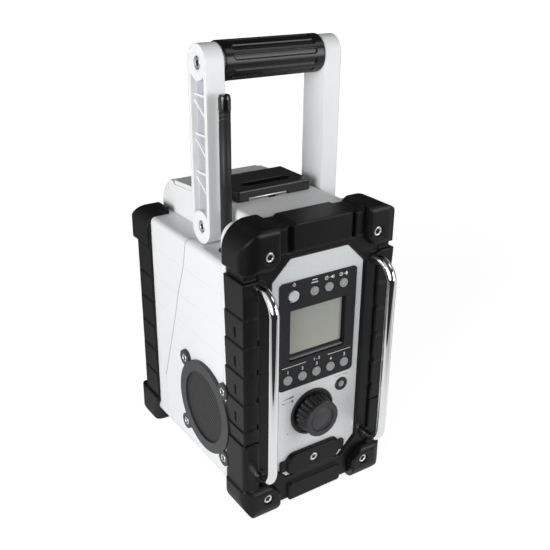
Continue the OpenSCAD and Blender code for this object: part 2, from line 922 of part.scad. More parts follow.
module guard_bar(side) {
    b = bar_bend;
    z0 = bar_z[0];
    z1 = bar_z[1];
    color(steel) sided(side) {
        translate([bar_x, bar_y, z0 + b]) cylinder(d = bar_d, h = z1 - z0 - 2 * b);
        for (z = bar_z) rod_y([bar_x, z], bar_d, bar_y + b, bar_root_y);
        translate([bar_x, bar_y + b, z0 + b]) rotate([0, 90, 0])
            rotate([0, 0, 270]) rotate_extrude(angle = 90) translate([b, 0]) circle(d = bar_d);
        translate([bar_x, bar_y + b, z1 - b]) rotate([0, 90, 0])
            rotate([0, 0, 180]) rotate_extrude(angle = 90) translate([b, 0]) circle(d = bar_d);
    }
}

// ---- Handle ----

// The hollow between the two bosses of an arm, in y and z
module arm_hollow() {
    difference() {
        translate([pivot_y - recess_w / 2, pivot_z]) square([recess_w, arm_l]);
        for (z = [pivot_z, grip_z]) translate([pivot_y, z]) circle(boss_r);
    }
}

module handle_arm(side) {
    floor_x = arm_x1 - arm_recess;
    slope = 36;
    color(white) sided(side) difference() {
        union() {
            difference() {
                union() {
                    along_x(arm_x0, arm_x1)
                        translate([pivot_y - arm_w / 2, pivot_z]) square([arm_w, arm_l]);
                    for (z = [pivot_z, grip_z]) rod_x([pivot_y, z], arm_w, arm_x0, arm_x1);
                }
                along_x(floor_x, arm_x1 + 1) arm_hollow();
            }
            along_x(floor_x - 0.5, floor_x + rib_h) intersection() {
                arm_hollow();
                for (i = [0:2]) translate([pivot_y, grip_z - 27 - i * rib_pitch]) {
                    square([arm_w, rib_t], center = true);
                    translate([0, -rib_drop]) rotate(slope) square([2 * arm_w, rib_t], center = true);
                }
            }
        }
        rod_x([pivot_y, pivot_z], pivot_d + 2 * running, arm_x0 - 1, arm_x1);
        rod_x([pivot_y, pivot_z], head_d + 0.8, arm_x1 - 3, arm_x1 + 1);
        rod_x([pivot_y, grip_z], pivot_d, arm_x0 - 1, arm_x1);
        rod_x([pivot_y, grip_z], head_d, arm_x1 - 3, arm_x1 + 1);
    }
}

// A cap screw along x, its head at the outer end, with a hexagon socket
module arm_screw(z, x0, x1) {
    difference() {
        union() {
            rod_x([pivot_y, z], pivot_d, x0, x1);
            rod_x([pivot_y, z], head_d, x1 - 2.2, x1);
        }
        translate([x1 - 1.5, pivot_y, z]) rotate([0, 90, 0]) cylinder(d = 7, h = 3, $fn = 6);
    }
}

module handle_screws() {
    color(steel) both_sides() arm_screw(grip_z, arm_x0 - 12, arm_x1 - 0.8);
}

module pivot_bolts() {
    inner_x = hump_x - wall;
    color(steel) both_sides() {
        arm_screw(pivot_z, inner_x - 4, arm_x1 - 0.5);
        rod_x([pivot_y, pivot_z], pivot_d + 4, inner_x - 4, inner_x);
    }
}

module grip_core() {
    color(charcoal) difference() {
        rod_x([pivot_y, grip_z], core_d, -arm_x0, arm_x0);
        both_sides() rod_x([pivot_y, grip_z], pivot_d, arm_x0 - 12, arm_x0 + 1);
    }
}

module grip_sleeve() {
    grooves = 28;
    color(rubber) difference() {
        rod_x([pivot_y, grip_z], grip_d, -arm_x0, arm_x0);
        rod_x([pivot_y, grip_z], core_d, -arm_x0 - 1, arm_x0 + 1);
        for (i = [0:grooves - 1]) {
            a = 360 * i / grooves;
            r = grip_d / 2;
            rod_x([pivot_y + r * cos(a), grip_z + r * sin(a)], 1.4, 8 - arm_x0, arm_x0 - 8);
        }
    }
}

// ---- Antenna ----

module antenna_rod() {
    translate([-antenna_x, antenna_y, shoulder_z - antenna_root]) color(charcoal)
        cylinder(d = antenna_d, h = antenna_top - antenna_cap_h - shoulder_z + antenna_root);
}

module antenna_cap() {
    translate([-antenna_x, antenna_y, antenna_top - antenna_cap_h]) color(charcoal) {
        cylinder(d = antenna_d + 0.6, h = antenna_cap_h - antenna_d / 2);
        translate([0, 0, antenna_cap_h - antenna_d / 2]) intersection() {
            sphere(d = antenna_d + 0.6);
            cylinder(d = antenna_d + 2, h = antenna_d / 2);
        }
    }
}

module antenna_socket() {
    translate([-antenna_x, antenna_y, shoulder_z - antenna_root - 3]) color(rubber) difference() {
        cylinder(d = antenna_d + 4, h = antenna_root + 4);
        translate([0, 0, 3]) cylinder(d = antenna_d, h = antenna_root + 4);
    }
}

// ---- Battery bay ----

module battery_lid() {
    slot = [tongue[0] / 2 + fit, latch_y0 + 8.5];
    color(white) difference() {
        union() {
            intersection() {
                cabinet_form(0, shell_y);
                union() {
                    along_x(-hump_x, hump_x) lid_outline(lid_y, hinge_y - barrel_r - 0.4, 0);
                    along_x(-lug_x, lug_x) lid_outline(lid_y, hinge_y, 0);
                }
            }
            rod_x([hinge_y, hinge_z], 2 * barrel_r, -lug_x, lug_x);
        }
        rod_x([hinge_y, hinge_z], pin_d + 2 * running, -lug_x - 1, lug_x + 1);
        block([-slot[0], slot[1] - latch_travel - fit, lid_z - 1],
            [slot[0], slot[1] + tongue[1] + fit, deck_z + 1]);
    }
}

module lid_hinge_pin() {
    color(steel) rod_x([hinge_y, hinge_z], pin_d, -lug_x - 6, lug_x + 6);
}

module battery_latch() {
    z0 = deck_z + fit;
    z1 = deck_z + latch_h;
    hook_z = lid_z - fit;
    hook = [tongue[0] / 2, latch_y0 + 8.5];
    r = 3;
    color(charcoal) {
        difference() {
            intersection() {
                along_y(latch_y0, latch_y1) plate2([-latch_x, z0], [latch_x, z1], [0, 0, 1.5, 1.5]);
                along_z(z0, z1) plate2([-latch_x, latch_y0], [latch_x, latch_y1], [r, r, r, r]);
                along_x(-latch_x, latch_x) plate2([latch_y0, z0], [latch_y1, z1], [0, 0, 1, 1.5]);
            }
            along_z(z0 + 2, z1 + 1)
                plate2([-latch_slot_x, latch_y0 + 10.5], [latch_slot_x, latch_y0 + 21.5],
                    [5.4, 5.4, 5.4, 5.4]);
            block([-latch_cavity[0], latch_y0 - 1, z0 - 1],
                [latch_cavity[1], latch_y0 + 3, z0 + latch_cavity[2]]);
        }
        block([-hook[0], hook[1], hook_z - 2.5], [hook[0], hook[1] + tongue[1], z0 + 1]);
        block([-hook[0] - 3, hook[1], hook_z - 2.5], [hook[0] + 3, hook[1] + tongue[1], hook_z]);
    }
}

module battery_tray() {
    z1 = tray_z1;
    z0 = z1 - tray_h - wall;
    flange_x = hump_x - wall;
    color(charcoal) difference() {
        union() {
            block([-tray_x, tray_y0, z0], [tray_x, tray_y1, z1]);
            block([-flange_x, tray_y0, z1 - tray_flange_t], [flange_x, tray_y1, z1]);
        }
        block([wall - tray_x, tray_y0 + wall, z0 + wall], [tray_x - wall, tray_y1 - wall, z1 + 1]);
    }
}

module battery_terminal() {
    z0 = tray_z1 - tray_h;
    color(charcoal) {
        block([-18, tray_y1 - wall - 14, z0], [18, tray_y1 - wall, z0 + 12]);
        for (x = [-12, -4, 4, 12])
            block([x - 0.6, tray_y1 - wall - 20, z0 + 3], [x + 0.6, tray_y1 - wall - 14, z0 + 9]);
    }
}

// ---- Loudspeakers ----

module speaker_ring(side) {
    color([0.37, 0.38, 0.39]) sided(side) difference() {
        along_x(body_x, ring_x) ring_outline(0);
        rod_x([speaker_y, speaker_z], grille_d, body_x - 1, ring_x + 1);
        for (sy = [-1, 1]) for (sz = [-1, 1]) {
            centre = [speaker_y + sy * lug_pitch, speaker_z + sz * lug_pitch];
            rod_x(centre, screw_d, body_x - 1, ring_x + 1);
            rod_x(centre, screw_head_d, ring_x - 1.8, ring_x + 1);
        }
    }
}

module speaker_grille(side) {
    color([0.23, 0.22, 0.22]) sided(side)
        rod_x([speaker_y, speaker_z], grille_d - 2 * running, body_x, body_x + grille_t);
}

module speaker_driver(side) {
    d = driver_d;
    color([0.25, 0.25, 0.26]) sided(side) translate([body_x, speaker_y, speaker_z])
        rotate([0, -90, 0]) rotate_extrude()
            polygon([[0, 0], [d / 2, 0], [d / 2, 5], [d / 3, 20], [d / 3, driver_h], [0, driver_h]]);
}

// ---- Fasteners ----

// A cap screw along y with its head at y0, pointing to the rear
module front_screw(centre, y0, head_t, y1) {
    difference() {
        union() {
            rod_y(centre, screw_head_d, y0, y0 + head_t);
            rod_y(centre, screw_d, y0, y1);
        }
        translate([centre[0], y0 + 2, centre[1]]) rotate([90, 0, 0]) cylinder(d = hex_d, h = 3, $fn = 6);
    }
}

module cabinet_screws() {
    color(steel) {
        both_sides() for (z = screw_z)
            front_screw([screw_x, z], block_y + screw_sink, screw_head_t, shell_y - 1);
        front_screw([cover_x, cover_z], panel_y - cover_t + 0.5, cover_t - 1, panel_back_y);
        both_sides() for (z = rear_screw_z) {
            rod_y([rear_screw_x, z], screw_head_d, rear_block_y - rear_sink, rear_block_y - 1);
            rod_y([rear_screw_x, z], screw_d, rear_y - wall, rear_block_y - 1);
        }
    }
}

module speaker_screws() {
    color(steel) both_sides() for (sy = [-1, 1]) for (sz = [-1, 1]) {
        centre = [speaker_y + sy * lug_pitch, speaker_z + sz * lug_pitch];
        difference() {
            union() {
                rod_x(centre, screw_head_d, ring_x - 1.8, ring_x - 0.2);
                rod_x(centre, screw_d, body_x - wall, ring_x - 0.2);
            }
            translate([ring_x - 1.4, centre[0], centre[1]]) rotate([0, 90, 0])
                cylinder(d = hex_d, h = 3, $fn = 6);
        }
    }
}

module main_board() {
    color([0.1, 0.35, 0.2]) {
        along_y(main_y, main_y + board_t) plate2([-main_x, main_z0], [main_x, main_z1]);
        translate([-main_chip[0], main_y - main_chip[1], main_z0 + main_margin]) cube(main_chip);
    }
}

front_shell();
rear_shell();
front_frame();
for (side = [-1, 1]) {
    name = side < 0 ? "_left" : "_right";
    top_block(side);
    front_foot(side);
    side_bumper(side);
    rear_block(side);
    rear_foot(side);
    guard_bar(side);
    handle_arm(side);
    speaker_ring(side);
    speaker_grille(side);
    speaker_driver(side);
}
rear_bumpers();
control_panel();
display_plate();
display_sill();
display_lens();
display_module();
display_board();
button([power_x, function_z], power_d, plate_y - button_proud);  // power_button
for (i = [1:3])
    button([function_x + (i - 1) * function_pitch, function_z], function_d, plate_y - button_proud);
for (i = [1:5])
    button([(i - 3) * preset_pitch, preset_z], preset_d, plate_y - button_proud);
button([menu_x, menu_z], menu_d, panel_y - button_proud);  // menu_button
tuning_knob();
knob_skirt();
encoder();
socket_cover();
aux_sockets();
grip_core();
grip_sleeve();
handle_screws();
pivot_bolts();
antenna_rod();
antenna_cap();
antenna_socket();
battery_lid();
lid_hinge_pin();
battery_latch();
battery_tray();
battery_terminal();
cabinet_screws();
speaker_screws();
main_board();
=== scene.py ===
# %% [markdown]
# # Dressing a jobsite radio
# The radio arrives as solids from the CAD model: shells, rubber guards, a panel, knobs and bars, each
# one in its true place. Here they get their finishes, and a few small pieces that carry fine detail are
# drawn again as surfaces. Each cell does one step and prints what it made.

import json
import math

import bmesh
import bpy
import numpy as np
from mathutils import Matrix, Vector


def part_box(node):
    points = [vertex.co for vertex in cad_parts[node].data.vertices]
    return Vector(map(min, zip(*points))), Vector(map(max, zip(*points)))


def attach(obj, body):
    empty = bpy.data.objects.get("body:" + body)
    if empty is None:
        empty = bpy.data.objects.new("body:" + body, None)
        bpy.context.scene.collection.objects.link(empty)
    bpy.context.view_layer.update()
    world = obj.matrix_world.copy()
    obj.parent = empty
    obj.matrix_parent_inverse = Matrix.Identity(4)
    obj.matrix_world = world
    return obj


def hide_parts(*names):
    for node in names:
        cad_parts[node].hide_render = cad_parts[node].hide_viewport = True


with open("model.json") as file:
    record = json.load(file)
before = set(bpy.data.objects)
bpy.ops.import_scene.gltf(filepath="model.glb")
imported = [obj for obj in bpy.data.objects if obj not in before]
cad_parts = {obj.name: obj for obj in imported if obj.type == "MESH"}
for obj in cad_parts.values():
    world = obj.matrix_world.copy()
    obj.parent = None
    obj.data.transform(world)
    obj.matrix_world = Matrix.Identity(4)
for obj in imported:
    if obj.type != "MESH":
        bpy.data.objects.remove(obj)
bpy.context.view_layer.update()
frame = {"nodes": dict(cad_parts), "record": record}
MM = 0.001


def box(node):
    """The lowest and the highest corner of a solid's box, as arrays."""
    low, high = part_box(node)
    return np.array(low), np.array(high)


def front_middle(node):
    """The middle of a solid's box in x and z, at y = 0: the place of a piece that is turned about y."""
    low, high = box(node)
    return (low + high) / 2 * (1, 0, 1)


# %% [markdown]
# ## Camera
# A product picture is taken with a normal lens from about three quarters of a metre. The camera's three
# axes are worked out from its azimuth, elevation and roll, and written straight into its matrix. A
# Track To constraint would do the same without the roll, but a matrix shows what the numbers mean.

# %% Place the camera
TARGET = np.array([15.3, 0, 196.4]) * MM
DISTANCE = 766.8 * MM
AZIMUTH, ELEVATION, ROLL = (math.radians(angle) for angle in (-33.94, 23.88, 0.65))
SENSOR_WIDTH = 36
FOCAL_PIXELS = 781.3
IMAGE_PIXELS = 550
CLIP_START = 0.01


def camera_axes(azimuth, elevation, roll):
    """Right, up and back: back points from the target to the camera, and roll turns the other two
    about it."""
    back = np.array([math.sin(azimuth) * math.cos(elevation),
                     -math.cos(azimuth) * math.cos(elevation),
                     math.sin(elevation)])
    level = np.cross(-back, (0, 0, 1))
    level /= np.linalg.norm(level)
    rise = np.cross(level, -back)
    right = level * math.cos(roll) + rise * math.sin(roll)
    return right, rise * math.cos(roll) - level * math.sin(roll), back


right, up, back = camera_axes(AZIMUTH, ELEVATION, ROLL)
place = np.eye(4)
place[:3, :4] = np.column_stack([right, up, back, TARGET + back * DISTANCE])
camera = bpy.data.objects.new("camera", bpy.data.cameras.new("camera"))
camera.data.sensor_width = SENSOR_WIDTH
camera.data.lens = FOCAL_PIXELS / IMAGE_PIXELS * SENSOR_WIDTH
camera.data.clip_start = CLIP_START
camera.data.dof.use_dof = False
camera.matrix_world = Matrix(place.tolist())
bpy.context.scene.collection.objects.link(camera)
bpy.context.scene.camera = camera
bpy.context.scene.view_settings.view_transform = "Standard"
print(f"lens {camera.data.lens:.2f} mm, camera at {np.round(place[:3, 3], 3)} m")

# %% [markdown]
# ## Shader maths
# Patterns such as grain, ribs and seams are formulas. Drawing every Math node by hand hides the formula,
# so a small class wraps a node socket and lets Python's own operators add the nodes. One method makes
# every other kind of node from its type, its settings and its sockets.

# %% A wire and a board
class Wire:
    """A value that comes out of a node. Arithmetic on it adds Math nodes."""

    def __init__(self, board, socket):
        self.board = board
        self.socket = socket

    def __add__(self, other):
        return self.board.math("ADD", self, other)

    def __sub__(self, other):
        return self.board.math("SUBTRACT", self, other)

    def __rsub__(self, other):
        return self.board.math("SUBTRACT", other, self)

    def __mul__(self, other):
        return self.board.math("MULTIPLY", self, other)

    def __truediv__(self, other):
        return self.board.math("DIVIDE", self, other)

    def __pow__(self, other):
        return self.board.math("POWER", self, other)

    def __abs__(self):
        return self.board.math("ABSOLUTE", self)

    __radd__ = __add__
    __rmul__ = __mul__

    def root(self):
        return self.board.math("SQRT", self)

    def at_least(self, other):
        return self.board.math("MAXIMUM", self, other)

    def at_most(self, other):
        return self.board.math("MINIMUM", self, other)

    def ramp(self, low, high):
        """0 below low, 1 above high, and a smooth rise between; low may be the larger one."""
        return self.board.add("ShaderNodeMapRange", {"interpolation_type": "SMOOTHSTEP"},
                              {"Value": self, "From Min": low, "From Max": high})["Result"]


class Board:
    """The node tree of one material, or of the world."""

    def __init__(self, tree):
        self.tree = tree
        tree.nodes.clear()

    def add(self, kind, settings=None, sockets=None):
        """Adds a node of that kind, sets it up, then fills its sockets with values or wires."""
        node = self.tree.nodes.new(kind)
        for key, value in (settings or {}).items():
            setattr(node, key, value)
        for key, value in (sockets or {}).items():
            if isinstance(value, Wire):
                self.tree.links.new(value.socket, node.inputs[key])
            else:
                node.inputs[key].default_value = value
        return Made(self, node)

    def math(self, operation, *values):
        return self.add("ShaderNodeMath", {"operation": operation}, dict(enumerate(values)))[0]

    def mix(self, factor, first, second):
        """The first colour where factor is 0 and the second where it is 1."""
        return self.add("ShaderNodeMix", {"data_type": "RGBA"}, {0: factor, 6: first, 7: second})[2]

    def point(self):
        """A place on the piece in metres."""
        return self.add("ShaderNodeTexCoord")["Object"]

    def split(self, vector):
        """The x, y and z of a vector."""
        parts = self.add("ShaderNodeSeparateXYZ", {}, {0: vector})
        return parts[0], parts[1], parts[2]

    def noise(self, vector, grain, detail=2, roughness=0.5):
        """Cloudy noise from 0 to 1, whose blotches are about grain metres across."""
        return self.add("ShaderNodeTexNoise", {}, {"Vector": vector, "Scale": 1 / grain,
                        "Detail": detail, "Roughness": roughness})[0]

    def cells(self, vector, pitch):
        """Distance to the nearest of scattered points, about pitch metres apart, in shares of pitch."""
        return self.add("ShaderNodeTexVoronoi", {}, {"Vector": vector, "Scale": 1 / pitch})[0]

    def soft_edges(self, radius):
        """Normals that round every edge over as a mould does, by radius."""
        return self.add("ShaderNodeBevel", {"samples": 6}, {"Radius": radius})[0]

    def bump(self, height, depth, normal=None):
        """A relief: height from 0 to 1 stands for depth metres."""
        sockets = {"Height": height, "Distance": depth, "Strength": 1.0}
        if normal is not None:
            sockets["Normal"] = normal
        return self.add("ShaderNodeBump", {}, sockets)[0]


class Made:
    """A node just made; indexing it gives the wire of an output."""

    def __init__(self, board, node):
        self.board = board
        self.node = node

    def __getitem__(self, key):
        return Wire(self.board, self.node.outputs[key])


def material(name):
    """A new material and its empty board."""
    made = bpy.data.materials.new(name)
    made.use_nodes = True
    return made, Board(made.node_tree)


def surface_shader(board, **sockets):
    """The Principled shader with these sockets, led to the output. Names are the sockets' own words."""
    words = {key.replace("_", " ").title().replace("Ior", "IOR"): value for key, value in sockets.items()}
    shader = board.add("ShaderNodeBsdfPrincipled", {}, words)
    board.add("ShaderNodeOutputMaterial", {}, {"Surface": shader[0]})


print("shader maths ready")

# %% [markdown]
# ## Studio
# A pale studio is a white floor, a large soft light on the left, a weaker one in front and hardly any
# from above, so the walls of the radio are brighter than its shoulders. More light would make the floor
# white too, but it would wash out the white plastic. So the floor adds light of its own for the camera
# alone, and still keeps the shadow. In reflections it has a dim fan towards the camera, a black wedge in
# the fan and a dim half behind the radio, as black cards in a studio give: without something dark to
# mirror, chrome has nothing to draw with.

# %% Floor
FLOOR_SIZE = 40
FLOOR_GREY = (0.82, 0.82, 0.82, 1)
FLOOR_SHADE = (0.52, 0.52, 0.52, 1)
FLOOR_GLOW = 0.84
GLOW_RISE = (0.4, 2.5)
MIRROR_GLOW = 0.84
TOWARDS_CAMERA = (-0.558, -0.830)
FAN_DEPTH = 0.42
FAN_FACING = (0, 0.6)
FAN_RISE = (0.25, 0.45)
WEDGE_DEPTH = 0.94
WEDGE_FACING = (0.3, 0.6)
WEDGE_SPREAD = 1.39
WEDGE_START = 1.46
WEDGE_BLUR = 0.04
BEHIND_DEPTH = 0.88
BEHIND_FACING = (-0.10, -0.62)


def ray_kinds(board):
    """Two masks: rays that look straight at the studio, also through glass, and rays of reflections."""
    light_path = board.add("ShaderNodeLightPath")
    direct = light_path["Is Camera Ray"].at_least(light_path["Is Transmission Ray"])
    return direct, light_path["Is Glossy Ray"]


def floor_place(board):
    """Where a point of the floor lies: its distance from the radio's middle, a millimetre at least, and
    the cosine between its direction and the camera's."""
    x, y, _ = board.split(board.point())
    distance = (x * x + y * y).root().at_least(MM)
    return distance, (x * TOWARDS_CAMERA[0] + y * TOWARDS_CAMERA[1]) / distance


def mirrored_floor(distance, facing):
    """The floor's brightness in reflections: a level less the fan's depth, times what the wedge leaves,
    times what the half behind leaves. The wedge lies in the fan, where the facing cosine plus the spread
    times the distance passes its start, so it widens with the distance."""
    fan = FAN_DEPTH * facing.ramp(*FAN_FACING) * distance.ramp(*FAN_RISE)
    wedge = (facing + distance * WEDGE_SPREAD).ramp(WEDGE_START, WEDGE_START + WEDGE_BLUR)
    wedge = WEDGE_DEPTH * wedge * facing.ramp(*WEDGE_FACING)
    behind = BEHIND_DEPTH * facing.ramp(*BEHIND_FACING)
    return (MIRROR_GLOW - fan) * (1 - wedge) * (1 - behind)


floor_finish, board = material("studio_floor")
seen, mirrored = ray_kinds(board)
distance, facing = floor_place(board)
glow_level = FLOOR_GLOW + (1 - FLOOR_GLOW) * distance.ramp(*GLOW_RISE)
plain = board.add("ShaderNodeBsdfDiffuse", {}, {"Color": FLOOR_GREY})[0]
mirror = board.add("ShaderNodeEmission", {}, {"Strength": mirrored_floor(distance, facing)})[0]
shaded = board.add("ShaderNodeBsdfDiffuse", {}, {"Color": FLOOR_SHADE})[0]
glow = board.add("ShaderNodeEmission", {}, {"Strength": glow_level})[0]
backdrop = board.add("ShaderNodeAddShader", {}, {0: shaded, 1: glow})[0]
unseen = board.add("ShaderNodeMixShader", {}, {0: mirrored, 1: plain, 2: mirror})[0]
shown = board.add("ShaderNodeMixShader", {}, {0: seen, 1: unseen, 2: backdrop})[0]
board.add("ShaderNodeOutputMaterial", {}, {"Surface": shown})

half = FLOOR_SIZE / 2
corners = [(-half, -half, 0), (half, -half, 0), (half, half, 0), (-half, half, 0)]
floor_mesh = bpy.data.meshes.new("floor")
floor_mesh.from_pydata(corners, [], [(0, 1, 2, 3)])
floor_mesh.materials.append(floor_finish)
floor = bpy.data.objects.new("floor", floor_mesh)
bpy.context.scene.collection.objects.link(floor)
print(f"floor {FLOOR_SIZE} m wide")

# %% [markdown]
# The world gives the soft light that comes from everywhere. It is brighter near the horizon than
# overhead, as in a room with white walls and a dark ceiling. Seen directly it is white. In a mirror it is
# pale on the left, greyer at the far right and nearly black between, which gives chrome its contrast.

# %% World
WALL_LIGHT = 0.54
CEILING_LIGHT = 0.06
CEILING_RISE = (0, 0.55)
MIRROR_DARK = 0.06
MIRROR_LEFT = 0.66
LEFT_RISE = (-0.35, -0.80)
MIRROR_RIGHT = 0.40
RIGHT_RISE = (0.70, 0.98)

world = bpy.data.worlds.new("studio")
world.use_nodes = True
bpy.context.scene.world = world
board = Board(world.node_tree)
x, _, height = board.split(board.add("ShaderNodeTexCoord")["Generated"])
room = WALL_LIGHT + (CEILING_LIGHT - WALL_LIGHT) * height.ramp(*CEILING_RISE)
mirror_level = MIRROR_DARK + MIRROR_LEFT * x.ramp(*LEFT_RISE) + MIRROR_RIGHT * x.ramp(*RIGHT_RISE)
seen, mirrored = ray_kinds(board)
strength = (room + (mirror_level - room) * mirrored) * (1 - seen) + seen
light = board.add("ShaderNodeBackground", {}, {"Color": (1, 1, 1, 1), "Strength": strength})[0]
board.add("ShaderNodeOutputWorld", {}, {"Surface": light})
print(f"world from {CEILING_LIGHT} overhead to {WALL_LIGHT} at the horizon")

# %% [markdown]
# Three square area lights stand round the radio. The table gives each one's name, place and side in
# metres, and power in watts. A larger lamp has softer shadows. Each one faces the middle of the radio.

# %% Soft lights
LIGHTS = [("left_light", (-1.78, -0.66, 0.54), 1.2, 33),
          ("front_light", (1.00, -1.60, 0.62), 1.0, 15),
          ("top_light", (0.95, -0.80, 1.65), 0.6, 2.4)]
RADIO_MIDDLE = (0, 0, 0.2)


def soft_light(name, place, size, power):
    """A square lamp. Its own z axis points from the radio's middle to its place, as a lamp shines along
    -z, and its x axis is level."""
    lamp = bpy.data.lights.new(name, "AREA")
    lamp.shape = "SQUARE"
    lamp.size = size
    lamp.energy = power
    holder = bpy.data.objects.new(name, lamp)
    away = np.subtract(place, RADIO_MIDDLE)
    away /= np.linalg.norm(away)
    side = np.cross((0, 0, 1), away)
    side /= np.linalg.norm(side)
    matrix = np.eye(4)
    matrix[:3, :4] = np.column_stack([side, np.cross(away, side), away, place])
    holder.matrix_world = Matrix(matrix.tolist())
    bpy.context.scene.collection.objects.link(holder)


for light in LIGHTS:
    soft_light(*light)
print(f"{len(LIGHTS)} soft lights")

# %% [markdown]
# ## Finishes
# Every finish is a formula on the piece's own coordinates: a base colour with a slight drift, a grain
# that is felt in the highlights, and edges rounded over as a mould rounds them. A painted image could
# hold the same, but it needs unwrapping and blurs when seen close by. The white shells come first. The
# line where they meet is no wider than a pencil's, so it is part of the finish.

# %% White moulded plastic
SEAM = np.array([(9, 249.3), (14, 223), (26.6, 191.7), (37.5, 156), (63, 83)]) * MM
SEAM_SLOPE = -np.diff(SEAM[:, 0]) / np.diff(SEAM[:, 1])
SEAM_WIDTH = 0.45 * MM
SEAM_END = 0.5 * MM
SEAM_DOT_R = 1.1 * MM
SEAM_DOT_EDGE = 0.4 * MM
SIDE_X = 76.6 * MM
SIDE_EDGE = 0.2 * MM
SIDE_GROOVES = [220 * MM, 189 * MM, 160 * MM]
GROOVE_HALF = (0.6 * MM, 0.1 * MM)
GROOVE_SHARE = 0.16


def shell_lines(board, point):
    """The seam as a mask from 0 to 1. Its y is a first value plus, below each corner's height, the change
    of slope there times the depth below it; the mask is 1 where y is within the seam's width of that."""
    x, y, z = board.split(point)
    end_y, end_z = SEAM[-1].tolist()
    line = float(SEAM[0, 0])
    for corner_z, turn in zip(SEAM[:-1, 1].tolist(), np.diff(SEAM_SLOPE, prepend=0).tolist()):
        line = line + turn * (corner_z - z).at_least(0)
    seam = abs(y - line).ramp(SEAM_WIDTH, SEAM_WIDTH * 0.3) * z.ramp(end_z - SEAM_END, end_z)
    side = abs(x).ramp(SIDE_X - SIDE_EDGE, SIDE_X)
    dot = ((y - end_y) ** 2 + (z - end_z) ** 2).root().ramp(SEAM_DOT_R, SEAM_DOT_R - SEAM_DOT_EDGE)
    mask = seam.at_least(dot * side)
    for groove_z in SIDE_GROOVES:
        mask = mask.at_least(abs(z - groove_z).ramp(*GROOVE_HALF) * side * GROOVE_SHARE)
    return mask


def white_plastic(name, lines=False):
    """Fine spark-eroded grain, with the line between the shells and three faint side grooves if asked."""
    made, board = material(name)
    point = board.point()
    drift = board.noise(point, 0.05, 3)
    grain = board.noise(point, 0.0006, 2, 0.6)
    tone = board.mix(drift, (0.835, 0.845, 0.855, 1), (0.865, 0.872, 0.880, 1))
    relief = grain * 0.05
    if lines:
        groove = shell_lines(board, point)
        tone = board.mix(groove, tone, (0.40, 0.40, 0.41, 1))
        relief = relief - groove
    surface_shader(board, base_color=tone, roughness=0.38 + grain * 0.12, specular_ior_level=0.30,
                   normal=board.bump(relief, 0.0003, board.soft_edges(0.0012)))
    return made


print("seam slopes", np.round(SEAM_SLOPE, 3))

# %% [markdown]
# Black rubber is seen mostly by its sheen. A low base colour alone would look like a hole, so the
# roughness carries the detail: sandy grain, a slow drift, and more roughness at a glancing look.

# %% Black rubber
RUBBER_GRAIN = 0.9 * MM
RUBBER_DRIFT = 30 * MM
GRAZING_ROUGHNESS = 0.35


def black_rubber(name, shade=0.0050, shine=0.20, roughness=0.19, edge=0.0030):
    """Soft black rubber: sandy grain and a slow drift in sheen. Seen along the surface it is rougher, as
    the facing term of Layer Weight grows from 0 to 1 there."""
    made, board = material(name)
    point = board.point()
    grain = board.noise(point, RUBBER_GRAIN, 3, 0.6)
    drift = board.noise(point, RUBBER_DRIFT, 3)
    tone = board.mix(drift.ramp(0.3, 0.75), (shade, shade, shade * 1.08, 1),
                     (shade * 1.35, shade * 1.35, shade * 1.42, 1))
    grazing = board.add("ShaderNodeLayerWeight", {}, {"Blend": 0.5})["Facing"] ** 2
    normal = board.bump(grain, 0.00005, board.soft_edges(edge) if edge else None)
    dullness = roughness + drift * 0.08 + grain * 0.10 + grazing * GRAZING_ROUGHNESS
    surface_shader(board, base_color=tone, roughness=dullness, specular_ior_level=shine, normal=normal)
    return made


print(f"rubber grain {RUBBER_GRAIN / MM:.1f} mm")

# %% [markdown]
# Knobs, clips and plates are all the same dark moulding, from matt to glossy. One function with a
# roughness and an optional clear coat serves them all, so that they still look like one family.

# %% Dark moulded plastic
MOULD_GRAIN = 0.7 * MM


def dark_plastic(name, colour, roughness, edge=0.0006, shine=0.25, coat=0.0):
    """A plain dark moulding. Its grain is fine and its colour drifts a little."""
    made, board = material(name)
    point = board.point()
    grain = board.noise(point, MOULD_GRAIN, 2, 0.6)
    drift = board.noise(point, 0.02, 2)
    low = tuple(c * 0.9 for c in colour) + (1,)
    high = tuple(c * 1.15 for c in colour) + (1,)
    surface_shader(board, base_color=board.mix(drift, low, high), roughness=roughness + grain * 0.08,
                   specular_ior_level=shine, coat_weight=coat, coat_roughness=0.08,
                   normal=board.bump(grain, 0.00004, board.soft_edges(edge)))
    return made


print(f"plastic grain {MOULD_GRAIN / MM:.1f} mm")

# %% [markdown]
# The silver panel is lacquered plastic. Full metal would mirror the room, and plain grey would look
# dead. A quarter of metal, and flakes that are only a little darker than the ground, lie between.

# %% Silver lacquer
FLAKE = 0.8 * MM


def silver_lacquer(name):
    """Silver-grey lacquer: tiny flakes lie in it at random, a little darker than the ground."""
    made, board = material(name)
    point = board.point()
    flakes = board.noise(point, FLAKE, 2, 0.75)
    drift = board.noise(point, 0.06, 2)
    ground = board.mix(drift, (0.73, 0.75, 0.765, 1), (0.79, 0.805, 0.815, 1))
    tone = board.mix(flakes.ramp(0.36, 0.64) * 0.35, ground, (0.50, 0.52, 0.535, 1))
    surface_shader(board, base_color=tone, metallic=0.25, roughness=0.30 + flakes * 0.14,
                   normal=board.bump(flakes, 0.00003, board.soft_edges(0.0006)))
    return made


print(f"lacquer flakes {FLAKE / MM:.1f} mm")

# %% [markdown]
# There are two metals. Chrome is nearly a mirror, and only a faint orange peel bends what it shows. Zinc
# on the screws is satin, with a grain too fine to count.

# %% Metals
PEEL = 4 * MM


